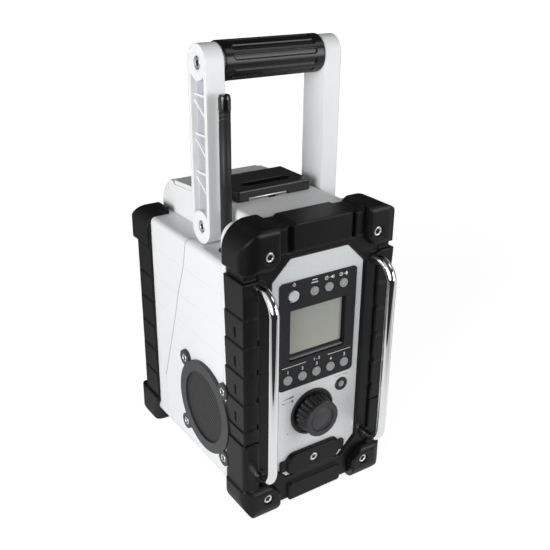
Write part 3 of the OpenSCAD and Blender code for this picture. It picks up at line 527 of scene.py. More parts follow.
def polished_chrome(name):
    """Mirror-bright plating with the faintest orange peel."""
    made, board = material(name)
    point = board.point()
    peel = board.noise(point, PEEL, 2)
    haze = board.noise(point, 0.02, 3)
    surface_shader(board, base_color=board.mix(haze, (0.84, 0.85, 0.86, 1), (0.90, 0.905, 0.91, 1)),
                   metallic=1.0, roughness=0.02 + haze * 0.03, normal=board.bump(peel, 0.00001))
    return made


def zinc_steel(name):
    """Zinc plating: satin, with a fine grain and soft blotches."""
    made, board = material(name)
    point = board.point()
    grain = board.noise(point, 0.0005, 2, 0.7)
    blotch = board.noise(point, 0.003, 2)
    surface_shader(board, base_color=board.mix(blotch, (0.62, 0.62, 0.61, 1), (0.74, 0.74, 0.73, 1)),
                   metallic=1.0, roughness=0.22 + grain * 0.2,
                   normal=board.bump(grain, 0.00003, board.soft_edges(0.0004)))
    return made


print(f"orange peel {PEEL / MM:.0f} mm")

# %% [markdown]
# The loudspeaker's cover is steel sheet with hundreds of round holes in a hexagonal pattern. Cutting
# them would cost a great many faces, so the holes are a formula: two rectangular grids of dots, the
# second shifted by half a step, make the hexagonal one. The holes sink into the relief, and their
# darkness is painted shade for the space behind the sheet.

# %% Perforated steel
HOLE_PITCH = 2.4 * MM
HOLE_R = 0.725 * MM
HOLE_EDGE = 0.1 * MM
GRID_SHIFT = 1
PAINT_GRAIN = 1.2 * MM


def perforated_steel(name):
    """Painted sheet with holes. In one grid the distance to the nearest dot is that of the remainders of
    y and z by the two steps; the nearer of both grids' dots counts. A whole metre is added, so that
    every place is positive."""
    made, board = material(name)
    point = board.point()
    _, y, z = board.split(point)
    step_y, step_z = HOLE_PITCH, HOLE_PITCH * math.sqrt(3)

    def nearest(shift):
        away_y = board.math("PINGPONG", y + shift * step_y + GRID_SHIFT, step_y / 2)
        away_z = board.math("PINGPONG", z + shift * step_z + GRID_SHIFT, step_z / 2)
        return (away_y ** 2 + away_z ** 2).root()

    away = nearest(0).at_most(nearest(0.5))
    hole = away.ramp(HOLE_R + HOLE_EDGE, HOLE_R - HOLE_EDGE)
    grain = board.noise(point, PAINT_GRAIN, 2)
    paint = board.mix(grain, (0.050, 0.050, 0.051, 1), (0.070, 0.070, 0.071, 1))
    # Painted shade: the holes are near-black, for the shadowed space behind the sheet.
    surface_shader(board, base_color=board.mix(hole, paint, (0.003, 0.003, 0.003, 1)),
                   roughness=0.5 + hole * 0.3, specular_ior_level=0.15, normal=board.bump(1 - hole, 0.0004))
    return made


print(f"holes {2 * HOLE_R / MM:.2f} mm wide, {HOLE_PITCH / MM:.1f} mm apart")

# %% [markdown]
# Three small finishes remain. The display is off, so its window is a grey-green ground under a thin clear
# coat. The buttons are matt silicone rubber, and the circuit boards inside show tracks under green resist.

# %% Display window, button rubber, circuit board
TRACK_PITCH = 4 * MM


def display_window(name):
    """Grey-green glass of a reflective display at rest, warmer at its foot, with painted shade towards the
    top.
    """
    made, board = material(name)
    point = board.point()
    _, _, z = board.split(point)
    low, high = box("display_lens")
    # Painted shade: the glass darkens from its foot to its top, as the window's top wall shades it.
    painted_top_shade = z.ramp(low[2], high[2])
    cloud = board.noise(point, 0.02, 2)
    ground = board.mix(painted_top_shade, (0.375, 0.380, 0.325, 1), (0.315, 0.335, 0.300, 1))
    surface_shader(board, base_color=board.mix(cloud * 0.25, ground, (0.36, 0.37, 0.33, 1)),
                   roughness=0.22 + cloud * 0.06, coat_weight=0.3, coat_roughness=0.05,
                   normal=board.bump(cloud, 0.00001))
    return made


def button_rubber(name, low, high, roughness=0.5):
    """Silicone rubber: matt, with a fine bloom. A lower roughness makes it a satin plastic."""
    made, board = material(name)
    point = board.point()
    bloom = board.noise(point, 0.003, 3)
    grain = board.noise(point, 0.0005, 2)
    surface_shader(board, base_color=board.mix(bloom, low + (1,), high + (1,)),
                   roughness=roughness + grain * 0.12, normal=board.bump(grain, 0.00002))
    return made


def circuit_board(name):
    """Green solder resist over copper tracks that show as a faint relief."""
    made, board = material(name)
    point = board.point()
    tracks = board.cells(point, TRACK_PITCH).ramp(0.30, 0.36)
    surface_shader(board, base_color=board.mix(tracks, (0.02, 0.11, 0.05, 1), (0.03, 0.16, 0.07, 1)),
                   roughness=0.35, normal=board.bump(tracks, 0.00004))
    return made


print(f"tracks {TRACK_PITCH / MM:.0f} mm apart")

# %% [markdown]
# Each solid in the frame's record has a slot, a name for what it is made of. A table leads from slots to
# finishes, and two shells and the latch have a finish of their own.

# %% Put the finishes on the solids
FINISHES = {
    "white_plastic": white_plastic("white_plastic"),
    "black_rubber": black_rubber("black_rubber"),
    "dark_plastic": dark_plastic("dark_plastic", (0.014, 0.014, 0.015), 0.34),
    "ring_plastic": dark_plastic("ring_plastic", (0.046, 0.048, 0.052), 0.40, edge=0.0009),
    "silver_plastic": silver_lacquer("silver_plastic"),
    "plate_plastic": dark_plastic("plate_plastic", (0.014, 0.014, 0.018), 0.40, edge=0.0004),
    "button_rubber": button_rubber("button_rubber", (0.27, 0.29, 0.27), (0.34, 0.36, 0.335)),
    "power_plastic": button_rubber("power_plastic", (0.58, 0.59, 0.60), (0.66, 0.67, 0.68), 0.24),
    "display_glass": display_window("display_glass"),
    "chrome_steel": polished_chrome("chrome_steel"),
    "screw_steel": zinc_steel("screw_steel"),
    "grille_steel": perforated_steel("grille_steel"),
    "circuit_board": circuit_board("circuit_board"),
}
SPECIAL = {
    "front_shell": white_plastic("white_shell", lines=True),
    "battery_latch": dark_plastic("latch_gloss", (0.011, 0.011, 0.012), 0.14, edge=0.0007, shine=0.5),
}
SPECIAL["rear_shell"] = SPECIAL["front_shell"]


def dress(node, finish):
    """Fills every material slot of a solid with one finish."""
    mesh = node.data
    if not mesh.materials:
        mesh.materials.append(finish)
    for index in range(len(mesh.materials)):
        mesh.materials[index] = finish


slots = {part["node"]: part["material_slot"] for part in frame["record"]["subparts"]}
for name, node in frame["nodes"].items():
    dress(node, SPECIAL.get(name, FINISHES[slots[name]]))
print(f"{len(slots)} solids dressed in {len(FINISHES)} finishes")

# %% [markdown]
# ## Surfaces from formulas
# A turned or moulded piece is a sheet of points: one direction runs along its profile, the other round
# it. The points are worked out as whole arrays and handed to a mesh, and the seam where the sheet meets
# itself is merged.

# %% Sheets of points
MERGE = 1e-6


def into_scene(name, mesh, finish, body):
    """Gives a mesh its finish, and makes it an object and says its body."""
    mesh.materials.append(finish)
    piece = bpy.data.objects.new(name, mesh)
    bpy.context.scene.collection.objects.link(piece)
    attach(piece, body)
    return piece


def surface(name, sheets, finish, body, stands_for=()):
    """A mesh from one or more grids of points, shape (rows, columns, 3), each point joined to its
    neighbours by four-sided faces. Doubled points are merged and the faces are turned outwards."""
    points, faces, start = [], [], 0
    for sheet in sheets:
        rows, columns = sheet.shape[:2]
        index = start + np.arange(rows * columns).reshape(rows, columns)
        corners = [index[:-1, :-1], index[1:, :-1], index[1:, 1:], index[:-1, 1:]]
        faces.append(np.stack(corners, axis=-1).reshape(-1, 4))
        points.append(sheet.reshape(-1, 3))
        start += rows * columns
    mesh = bpy.data.meshes.new(name)
    mesh.from_pydata(np.concatenate(points), [], np.concatenate(faces))
    shell = bmesh.new()
    shell.from_mesh(mesh)
    bmesh.ops.remove_doubles(shell, verts=shell.verts, dist=MERGE)
    bmesh.ops.dissolve_degenerate(shell, edges=shell.edges, dist=MERGE / 10)
    bmesh.ops.recalc_face_normals(shell, faces=shell.faces)
    shell.to_mesh(mesh)
    shell.free()
    mesh.shade_smooth()
    piece = into_scene(name, mesh, finish, body)
    if stands_for:
        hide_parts(*stands_for)
    return piece


def rounded(corners, radii, steps=6):
    """A path through corners, each one cut by an arc: the arc leaves and joins the two sides at its
    radius times the tangent of half the turn from the corner. A radius of 0 keeps the corner sharp."""
    corners = np.asarray(corners, float)
    path = [corners[:1]]
    for before, corner, after, radius in zip(corners, corners[1:], corners[2:], radii):
        if radius == 0:
            path.append(corner[None])
            continue
        into = (corner - before) / np.linalg.norm(corner - before)
        out = (after - corner) / np.linalg.norm(after - corner)
        turn = math.acos(np.clip(into @ out, -1, 1))
        reach = radius * math.tan(turn / 2)
        normal = out - into * (into @ out)
        normal /= np.linalg.norm(normal)
        angle = np.linspace(0, turn, steps + 1)[:, None]
        arc = into * np.sin(angle) + normal * (1 - np.cos(angle))
        path.append(corner - into * reach + arc * radius)
    path.append(corners[-1:])
    return np.concatenate(path)


def turned(profile, centre, axis, around=64, shape=None):
    """A profile of (radius, distance along the axis) carried round it. Shape, if given, takes the angles
    and the profile and returns what to add to the radius at each point of the grid."""
    angle = np.linspace(0, 2 * np.pi, around + 1)[None, :]
    radius = np.repeat(profile[:, :1], around + 1, axis=1)
    along = np.repeat(profile[:, 1:], around + 1, axis=1)
    if shape is not None:
        radius = radius + shape(angle, profile)
    first, second, third = radius * np.cos(angle), radius * np.sin(angle), along
    order = {"x": (third, first, second), "y": (first, third, second), "z": (first, second, third)}
    return np.stack(order[axis], axis=-1) + np.asarray(centre)


print("surface helpers ready")

# %% [markdown]
# ## Tuning knob
# The knob is one moulding: a flat cap with a sunk disc and a barrel that widens towards the panel, with
# broad grips along it. It could be a cone with cut grooves, but a profile turned round the spindle, with
# the grips as a wave added to the radius, gives the soft shape that a mould leaves.

# %% Knob
KNOB_GRIPS = 20
KNOB_GRIP_DEPTH = 1.5 * MM
KNOB_GRIP_BREADTH = 0.9
KNOB_RIM_NICK = 0.14
KNOB_RIM = 1 * MM
KNOB_CAP_R = 17.9 * MM
KNOB_ROOT_R = 19.6 * MM
KNOB_NECK_R = 16.9 * MM
KNOB_FLARE = 1.6
KNOB_DISC_R = 12.4 * MM
KNOB_DISC_SINK = 0.8 * MM
KNOB_LIP = 2.2 * MM
KNOB_LIP_SLOPE = 0.5 * MM
KNOB_CAP_EDGES = [0.3 * MM, 0.35 * MM, 0.6 * MM, 0.3 * MM]
KNOB_FOOT_EDGE = (0.5 * MM, 0.6 * MM)
KNOB_FOOT_GAP = 1.9 * MM
KNOB_ROWS = 20
KNOB_AROUND = 320
CORE_R = 0.01 * MM

panel_y = box("control_panel")[0][1]
knob_centre = front_middle("tuning_knob")
face_y = box("tuning_knob")[0][1]
neck_y = face_y + KNOB_LIP + KNOB_LIP_SLOPE
foot_y = panel_y - KNOB_FOOT_GAP


def knob_grips(angle, profile):
    """What the grooves between the grips take off the radius: their depth, times one less a power of the
    sine's size, so that grips are broad and grooves narrow. They start behind the cap's lip and nick its
    rim a little."""
    radius, y = profile[:, :1], profile[:, 1:]
    barrel = np.clip((y - face_y - KNOB_LIP) / KNOB_LIP_SLOPE, 0, 1)
    rim = (radius > KNOB_CAP_R - KNOB_RIM) * (1 - barrel) * KNOB_RIM_NICK
    wave = 1 - np.abs(np.sin(KNOB_GRIPS * angle / 2)) ** KNOB_GRIP_BREADTH
    return -KNOB_GRIP_DEPTH * (barrel + rim) * wave


cap = rounded([(0, face_y + KNOB_DISC_SINK), (KNOB_DISC_R, face_y + KNOB_DISC_SINK),
               (KNOB_DISC_R, face_y), (KNOB_CAP_R, face_y), (KNOB_CAP_R, face_y + KNOB_LIP),
               (KNOB_NECK_R, neck_y)], KNOB_CAP_EDGES)
share = np.linspace(0, 1, KNOB_ROWS)[1:]
barrel = np.column_stack([KNOB_NECK_R + (KNOB_ROOT_R - KNOB_NECK_R) * share ** KNOB_FLARE,
                          neck_y + (foot_y - KNOB_FOOT_EDGE[1] - neck_y) * share])
foot = np.array([(KNOB_ROOT_R - KNOB_FOOT_EDGE[0], foot_y), (CORE_R, foot_y)])
profile = np.concatenate([cap, barrel, foot])
KNOB_FINISH = dark_plastic("knob_plastic", (0.014, 0.014, 0.015), 0.30, shine=0.35)
surface("knob_cap", [turned(profile, knob_centre, "y", KNOB_AROUND, knob_grips)], KNOB_FINISH,
        "knob", ["tuning_knob"])
print(f"knob {2 * KNOB_CAP_R / MM:.1f} mm across, {KNOB_GRIPS} grips")

# %% [markdown]
# The disc in the cap and the ring round it catch the light differently. A mask in the knob's own finish
# could tell them apart, but a thin washer and a thin disc laid on the cap keep each edge crisp, and each
# has a plain satin finish.

# %% Knob ring and disc
FILM = 0.05 * MM
FILM_INSET = 0.4 * MM
FILM_SLOPE = (0.2 * MM, 0.3 * MM)
FILM_EDGE = 0.15 * MM
DISC_SLOPE = 0.1 * MM
FILM_AROUND = 96

ring_inner = KNOB_DISC_R + FILM_INSET
ring_outer = KNOB_CAP_R - FILM_INSET
ring_profile = rounded([(ring_inner, face_y + FILM_SLOPE[0]), (ring_inner, face_y - FILM),
                        (ring_outer - FILM_SLOPE[0], face_y - FILM), (ring_outer, face_y + FILM_SLOPE[1])],
                       [FILM_EDGE, FILM_EDGE])
RING_FINISH = dark_plastic("knob_ring", (0.044, 0.043, 0.046), 0.46)
ring = turned(ring_profile, knob_centre, "y", FILM_AROUND)
surface("knob_ring", [ring], RING_FINISH, "knob")

disc_y = face_y + KNOB_DISC_SINK
disc_r = KNOB_DISC_R - FILM_INSET
disc_profile = np.array([(0, disc_y - FILM), (disc_r - DISC_SLOPE, disc_y - FILM),
                         (disc_r, disc_y + DISC_SLOPE)])
DISC_FINISH = dark_plastic("knob_disc", (0.056, 0.055, 0.059), 0.42)
disc = turned(disc_profile, knob_centre, "y", FILM_AROUND)
surface("knob_disc", [disc], DISC_FINISH, "knob")
print(f"ring {2 * ring_outer / MM:.1f} mm and disc {2 * disc_r / MM:.1f} mm across, laid on the knob")

# %% [markdown]
# Behind the knob a round skirt stands on the panel. It has a soft outer edge and, between it and the
# knob's foot, a groove with small stops that show as dots. Skirt and stops are turned profiles too; the
# stops are copies of one, set round the groove.

# %% Knob skirt
SKIRT_R = 23.8 * MM
SKIRT_RISE = 1.7 * MM
SKIRT_EDGES = [0.2 * MM, 0.3 * MM, 0.8 * MM]
SKIRT_AROUND = 128
GROOVE_RISE = 0.6 * MM
GROOVE_WIDTH = 1.6 * MM
GROOVE_SLOPE = 0.3 * MM
LET_IN = 0.1 * MM
STOPS = 20
STOP_R = 0.6 * MM
STOP_RISE = (0.5 * MM, 1.3 * MM)
STOP_EDGE = 0.5 * MM
STOP_AROUND = 8

groove_r = KNOB_ROOT_R + GROOVE_WIDTH
skirt_profile = rounded([(CORE_R, panel_y - GROOVE_RISE), (groove_r, panel_y - GROOVE_RISE),
                         (groove_r + GROOVE_SLOPE, panel_y - SKIRT_RISE), (SKIRT_R, panel_y - SKIRT_RISE),
                         (SKIRT_R, panel_y + LET_IN)], SKIRT_EDGES)
SKIRT_FINISH = dark_plastic("skirt_plastic", (0.012, 0.012, 0.013), 0.36, shine=0.35)
surface("knob_base", [turned(skirt_profile, knob_centre, "y", SKIRT_AROUND)], SKIRT_FINISH,
        "cabinet", ["knob_skirt"])

stop_profile = rounded([(STOP_R, panel_y - STOP_RISE[0]), (STOP_R, panel_y - STOP_RISE[1]),
                        (0, panel_y - STOP_RISE[1])], [STOP_EDGE])
stop_angle = 2 * np.pi * (np.arange(STOPS) + 0.5) / STOPS
stop_way = np.column_stack([np.cos(stop_angle), np.zeros(STOPS), np.sin(stop_angle)])
stop_places = knob_centre + (KNOB_ROOT_R + GROOVE_WIDTH / 2) * stop_way
stops = [turned(stop_profile, place, "y", STOP_AROUND) for place in stop_places]
surface("knob_stops", stops, RING_FINISH, "cabinet")
print(f"skirt {2 * SKIRT_R / MM:.0f} mm across with {STOPS} stops")

# %% [markdown]
# ## Buttons
# Each button is a rubber or plastic cap with a rounded rim and a slight dish for the fingertip. One
# profile serves all ten; only the sizes differ, and each cap rides on its own body.

# %% Button caps
BUTTON_FLANGE = 2 * MM
BUTTON_BACK = 0.7 * MM
BUTTON_RIM = 0.8 * MM
RIM_ROUNDING = 0.9
CAP_GROOVE_AT = 0.72
CAP_GROOVE_WIDTH = 0.16
BOWL_ROWS = 18
CAP_AROUND = 48
POWER_CAP = {"dish": 1.9 * MM, "groove": 0.2 * MM, "shrink": 0.75 * MM}
RUBBER_CAP = {"dish": 0.15 * MM, "groove": 0.6 * MM, "shrink": 0.25 * MM}


def button_cap(node, slot, dish, groove, shrink):
    """A turned cap whose face is a shallow bowl with a groove near its rim: the depth falls with the
    square of the radius, and the groove is a bell curve about seven tenths of the way out."""
    low, high = box(node)
    radius = (high[0] - low[0]) / 2 - BUTTON_FLANGE - shrink
    front = low[1] + BUTTON_BACK
    bowl_r = np.linspace(0, radius - BUTTON_RIM, BOWL_ROWS)
    share = bowl_r / bowl_r[-1]
    bell = np.exp(-((share - CAP_GROOVE_AT) / CAP_GROOVE_WIDTH) ** 2)
    bowl = np.column_stack([bowl_r, front + dish * (1 - share ** 2) + groove * bell])
    rim = rounded([(bowl_r[-1], front), (radius, front), (radius, high[1])], [BUTTON_RIM * RIM_ROUNDING])
    profile = np.concatenate([bowl, rim[1:], [(0, high[1])]])
    sheet = turned(profile, front_middle(node), "y", CAP_AROUND)
    surface(node + "_cap", [sheet], FINISHES[slot], node, [node])


buttons = [name for name in frame["nodes"] if "_button" in name]
for name in buttons:
    if name == "power_button":
        button_cap(name, "power_plastic", **POWER_CAP)
    else:
        button_cap(name, "button_rubber", **RUBBER_CAP)
print(f"{len(buttons)} button caps")

# %% [markdown]
# The small menu button sits in a raised black ring on the panel, so that a thumb finds it. The ring is a
# turned profile with a soft outer edge, let into the panel a little so that no gap shows under it.

# %% Ring round the menu button
MENU_RING_R = 6.8 * MM
MENU_RING_RISE = 1.2 * MM
MENU_RING_ROOT = 1 * MM
MENU_RING_GAP = 0.35 * MM
MENU_RING_EDGES = [0.3 * MM, 0.6 * MM]

low, high = box("menu_button")
menu_hole_r = (high[0] - low[0]) / 2 - BUTTON_FLANGE + MENU_RING_GAP
ring_profile = rounded([(menu_hole_r, panel_y + MENU_RING_ROOT), (menu_hole_r, panel_y - MENU_RING_RISE),
                        (MENU_RING_R, panel_y - MENU_RING_RISE), (MENU_RING_R, panel_y + LET_IN)],
                       MENU_RING_EDGES)
surface("menu_ring", [turned(ring_profile, front_middle("menu_button"), "y")], KNOB_FINISH,
        "cabinet")
print(f"menu ring {2 * MENU_RING_R / MM:.1f} mm across")

# %% [markdown]
# ## Grip
# The rubber sleeve on the handle has long flutes with rounded ends, so that a wet hand keeps hold. They
# could be cut out of a cylinder, but rubber has no sharp edges. Here the radius is a formula of the two
# directions: along the bar it is level and rounds down at the ends, and round the bar it dips at every
# flute. The rows of points lie closer where the flutes end.

# %% Grip sleeve
FLUTES = 12
FLUTE_WIDTH = 4.6 * MM
FLUTE_DEPTH = 1.0 * MM
FLUTE_END = 9.5 * MM
FLUTE_SLOPE = (0.35 * MM, 0.55 * MM)
GRIP_EDGE = 1.6 * MM
GRIP_WALL = 3.5 * MM
GRIP_PLAY = 0.05 * MM
END_LENGTH = 4 * MM
CLOSE_ROWS = (4.5 * MM, 15 * MM)
GRIP_ROWS = (22, 13)
GRIP_AROUND = 288

low, high = box("grip_sleeve")
grip_r = (high[2] - low[2]) / 2
grip_half = (high[0] - low[0]) / 2 - GRIP_PLAY
grip_centre = (low + high) / 2 * (0, 1, 1)


def smooth(value, low_edge, high_edge):
    """0 below low_edge, 1 above high_edge, with the smooth cubic 3t^2 - 2t^3 between."""
    t = np.clip((value - low_edge) / (high_edge - low_edge), 0, 1)
    return t * t * (3 - 2 * t)


def flutes(angle, profile):
    """How far the radius dips: a pill-shaped hollow in every twelfth of the turn. The distance from the
    pill's middle line is that of a slot with half-round ends."""
    span = 2 * np.pi / FLUTES
    across = (np.mod(angle, span) - span / 2) * grip_r
    beyond = np.maximum(np.abs(profile[:, 1:]) - (grip_half - FLUTE_END - FLUTE_WIDTH / 2), 0)
    inside = FLUTE_WIDTH / 2 - np.hypot(across, beyond)
    return -FLUTE_DEPTH * smooth(inside, -FLUTE_SLOPE[0], FLUTE_SLOPE[1])


end = rounded([(grip_r - GRIP_WALL, -grip_half), (grip_r, -grip_half), (grip_r, -grip_half + END_LENGTH)],
              [GRIP_EDGE])
ends_x = np.linspace(CLOSE_ROWS[0] - grip_half, CLOSE_ROWS[1] - grip_half, GRIP_ROWS[0])
level_x = np.linspace(ends_x[-1], -ends_x[-1], GRIP_ROWS[1])[1:-1]
along = np.concatenate([ends_x, level_x, -ends_x[::-1]])
straight = np.column_stack([np.full(len(along), grip_r), along])
profile = np.concatenate([end, straight, (end * (1, -1))[::-1]])
GRIP_FINISH = black_rubber("grip_rubber", shade=0.0030, shine=0.40, roughness=0.14, edge=0)
surface("grip_rubber", [turned(profile, grip_centre, "x", GRIP_AROUND, flutes)], GRIP_FINISH,
        "handle", ["grip_sleeve"])
print(f"grip {2 * grip_half / MM:.0f} mm long with {FLUTES} flutes")

# %% [markdown]
# ## Guard bars
# Chrome shows every facet, so the two bars are drawn again as exact tubes. A circle is carried along a
# path in the plane of the bar: out of the shell, round a bend, up, round the other bend and back.

# %% Guard bars
BAR_BEND = 18 * MM
BEND_STEPS = 24


def tube(path, radius, around=48):
    """Rings of points about a path of (y, z) at x = 0: a ring's point at an angle is the path's point,
    plus the path's normal times the cosine and the x axis times the sine."""
    ahead = np.gradient(path, axis=0)
    ahead /= np.linalg.norm(ahead, axis=1, keepdims=True)
    normal = np.column_stack([ahead[:, 1], -ahead[:, 0]])
    angle = np.linspace(0, 2 * np.pi, around + 1)
    rings = np.empty((len(path), around + 1, 3))
    rings[..., 0] = radius * np.sin(angle)
    rings[..., 1:] = path[:, None, :] + radius * np.cos(angle)[None, :, None] * normal[:, None, :]
    return rings


for label in ("left", "right"):
    low, high = box("guard_bar_" + label)
    bar_r = (high[0] - low[0]) / 2
    shell_y, out_y = high[1], low[1] + bar_r
    foot_z, head_z = low[2] + bar_r, high[2] - bar_r
    path = rounded([(shell_y, foot_z), (out_y, foot_z), (out_y, head_z), (shell_y, head_z)],
                   [BAR_BEND, BAR_BEND], BEND_STEPS)
    bar_x = (low[0] + high[0]) / 2
    surface(f"guard_tube_{label}", [tube(path, bar_r) + (bar_x, 0, 0)], FINISHES["chrome_steel"],
            "cabinet", ["guard_bar_" + label])
print(f"two chrome bars, {2 * bar_r / MM:.0f} mm thick")

# %% [markdown]
# ## Antenna
# The antenna is a bendable rod in a rubber sleeve with a glossy cap pressed on its tip. Two fine rings
# are cut into the sleeve below the cap. Both pieces are turned profiles, so a ring is only four more
# points of one of them.

# %% Antenna sleeve and tip
RING_CUTS = (7.5 * MM, 4 * MM)
RING_CUT_DEPTH = 0.45 * MM
RING_CUT_HALF = (0.5 * MM, 0.25 * MM)
TIP_TAPER = (0.9, 0.84)
TIP_SHOULDERS = (1.2 * MM, 3.5 * MM)
TIP_EDGES = [1 * MM, 3 * MM, 1.8 * MM]
TIP_STEPS = 8
ANTENNA_AROUND = 48

low, high = box("antenna_rod")
rod_r = (high[0] - low[0]) / 2
rod_centre = (low + high) / 2 * (1, 1, 0)
rod_low, rod_top = low[2], high[2]
steps = [(0, rod_low), (rod_r, rod_low)]
for below in RING_CUTS:
    cut_z = rod_top - below
    steps += [(rod_r, cut_z - RING_CUT_HALF[0]), (rod_r - RING_CUT_DEPTH, cut_z - RING_CUT_HALF[1]),
              (rod_r - RING_CUT_DEPTH, cut_z + RING_CUT_HALF[1]), (rod_r, cut_z + RING_CUT_HALF[0])]
steps += [(rod_r, rod_top), (0, rod_top)]
SLEEVE_FINISH = dark_plastic("antenna_rubber", (0.019, 0.020, 0.019), 0.38)
surface("antenna_sleeve", [turned(np.array(steps), rod_centre, "z", ANTENNA_AROUND)], SLEEVE_FINISH,
        "cabinet", ["antenna_rod"])

low, high = box("antenna_cap")
tip_r = (high[0] - low[0]) / 2
tip_low, tip_top = low[2], high[2]
tip = rounded([(tip_r * TIP_TAPER[0], tip_low), (tip_r, tip_low + TIP_SHOULDERS[0]),
               (tip_r, tip_top - TIP_SHOULDERS[1]), (tip_r * TIP_TAPER[1], tip_top), (0, tip_top)],
              TIP_EDGES, TIP_STEPS)
TIP_FINISH = dark_plastic("antenna_gloss", (0.006, 0.006, 0.007), 0.08, shine=0.5, coat=0.3)
tip_profile = np.concatenate([[(0, tip_low)], tip])
surface("antenna_tip", [turned(tip_profile, rod_centre, "z", ANTENNA_AROUND)], TIP_FINISH,
        "cabinet", ["antenna_cap"])
print(f"antenna {2 * rod_r / MM:.0f} mm thick, tip at {tip_top:.3f} m")

# %% [markdown]
# ## Display surround
# The window is a hole through the panel, and its walls are lined in black so that the display looks deep.
# The walls could be painted by a mask, but a lining of its own has clean corners: a rectangular loop
# carried from the plate's face back to the glass.

# %% Window lining
LINING = 0.7 * MM
LINING_FOOT = 0.1 * MM
LINING_TUCK = 0.3 * MM
GLASS_BORDER = 1.9 * MM
GLASS_BORDER_FOOT = 1.1 * MM
BORDER_RISE = 0.1 * MM
GLASS_TOP = 3 * MM
FILM_GAP = 0.02 * MM

plate_y = box("display_plate")[0][1]
glass_low, glass_high = box("display_lens")
sill_low, sill_high = box("display_sill")
window_x = sill_high[0]
window_z = (sill_low[2], glass_high[2] - GLASS_TOP)
glass_y = glass_low[1] - FILM_GAP


def rectangle(inset, foot, y):
    """Five corners of a closed rectangle in x and z at depth y, its sides and its top drawn in by inset
    and its lower edge by foot."""
    x = window_x - inset
    z0, z1 = window_z[0] + foot, window_z[1] - inset
    return np.array([(-x, y, z0), (x, y, z0), (x, y, z1), (-x, y, z1), (-x, y, z0)])


loops = [rectangle(0, 0, plate_y + LINING_TUCK),
         rectangle(0, 0, plate_y - FILM_GAP),
         rectangle(LINING, LINING_FOOT, plate_y - FILM_GAP),
         rectangle(LINING, LINING_FOOT, glass_y - BORDER_RISE),
         rectangle(GLASS_BORDER, GLASS_BORDER_FOOT, glass_y - BORDER_RISE),
         rectangle(GLASS_BORDER, GLASS_BORDER_FOOT, glass_y)]
LINING_FINISH = dark_plastic("window_black", (0.006, 0.006, 0.007), 0.5)
lining = surface("window_lining", [np.stack(loops)], LINING_FINISH, "cabinet")
lining.data.shade_flat()
print(f"window {2 * window_x / MM:.0f} by {(window_z[1] - window_z[0]) / MM:.0f} mm")

# %% [markdown]
# The foot of the window is a sloping silver ledge, hollow like a gutter, with a black lip behind it that
# hides the edge of the glass. Both are one profile each, carried along x.

# %% Window ledge and lip
LEDGE_RISE = 2.0 * MM
LEDGE_HOLLOW = 0.7 * MM
LEDGE_THICK = 0.8 * MM
LEDGE_ROWS = 13
# Painted shade on the ledge: full dark this far in front of the lip, gone this far behind the plate's face.
LEDGE_PAINTED_SHADE = (0.3 * MM, 1.2 * MM)
LIP_RISE = 4.0 * MM
LIP_THICK = (0.9 * MM, 0.3 * MM)
back_y = glass_y - LIP_THICK[0]
sill_z = window_z[0]


def along_x(profile):
    """A profile of (y, z) carried along x from one side of the window to the other."""
    points = np.empty((len(profile), 2, 3))
    points[..., 0] = (-window_x, window_x)
    points[..., 1:] = np.asarray(profile)[:, None, :]
    return points


def ledge_silver(name):
    """Dark silver lacquer with painted shade: it fades to black towards the back, under the lip."""
    made, board = material(name)
    point = board.point()
    _, y, _ = board.split(point)
    flakes = board.noise(point, 0.0006, 2, 0.7)
    # Painted shade: the lacquer is dark at the back under the lip and silver towards the plate's face.
    shade = y.ramp(back_y - LEDGE_PAINTED_SHADE[0], plate_y + LEDGE_PAINTED_SHADE[1])
    ground = board.mix(shade, (0.02, 0.02, 0.022, 1), (0.30, 0.31, 0.315, 1))
    surface_shader(board, base_color=board.mix(flakes * 0.25, ground, (0.10, 0.10, 0.11, 1)),
                   roughness=0.34 + flakes * 0.12, normal=board.bump(flakes, 0.00002))
    return made


share = np.linspace(0, 1, LEDGE_ROWS)
ledge = np.column_stack([plate_y + (back_y - plate_y) * share,
                         sill_z + LEDGE_RISE * share - LEDGE_HOLLOW * np.sin(np.pi * share)])
under = [(back_y, sill_z - LEDGE_THICK), (plate_y, sill_z - LEDGE_THICK), (plate_y, sill_z)]
surface("window_ledge", [along_x(np.concatenate([ledge, under]))], ledge_silver("ledge_silver"),
        "cabinet", ["display_sill"])
lip_profile = [(back_y, sill_z), (back_y, sill_z + LEDGE_RISE),
               (glass_y - LIP_THICK[1], sill_z + LIP_RISE), (glass_y, sill_z + LIP_RISE)]
lip = surface("window_lip", [along_x(lip_profile)], LINING_FINISH, "cabinet")
lip.data.shade_flat()
print(f"ledge and lip, {LIP_RISE / MM:.0f} mm high, at the foot of the window")

# %% [markdown]
# ## Printed marks
# The marks on a panel are screen-printed: flat shapes a few hundredths of a millimetre thick. Numbers come
# from a text object turned into a mesh, icons from rings, bars and triangles worked out as arrays. All of
# them are generic signs. A picture wrapped on the panel would be quicker but soft when seen close by.

# %% Flat shapes
PRINT_LIFT = 0.06 * MM
PRINT_GAP = 0.01 * MM
LETTER_HEIGHT = 1.35
LETTER_WEIGHT = 0.022


def flat_ring(centre, radius, width, start=0, stop=360, steps=40):
    """Two arcs about centre, radius plus and minus half the width, joined by faces."""
    angle = np.radians(np.linspace(start, stop, steps + 1))
    ray = np.column_stack([np.cos(angle), np.sin(angle)])
    points = np.concatenate([centre + ray * (radius - width / 2), centre + ray * (radius + width / 2)])
    n = steps + 1
    return points, [(i, i + 1, n + i + 1, n + i) for i in range(steps)]


def flat_shape(corners, place=(0, 0)):
    """One face through the corners, shifted to place."""
    return np.array(corners, float) + place, [tuple(range(len(corners)))]


def flat_bar(start, stop, width):
    """A straight bar from start to stop, in x and z: its corners lie half the width to either side."""
    start, stop = np.array(start, float), np.array(stop, float)
    side = (stop - start)[::-1] * (-1, 1)
    side *= width / 2 / np.linalg.norm(side)
    return flat_shape([start - side, stop - side, stop + side, start + side])


def level_bar(x, z, half, width):
    """A level bar about (x, z), half its length to either side."""
    return flat_bar((x - half, z), (x + half, z), width)


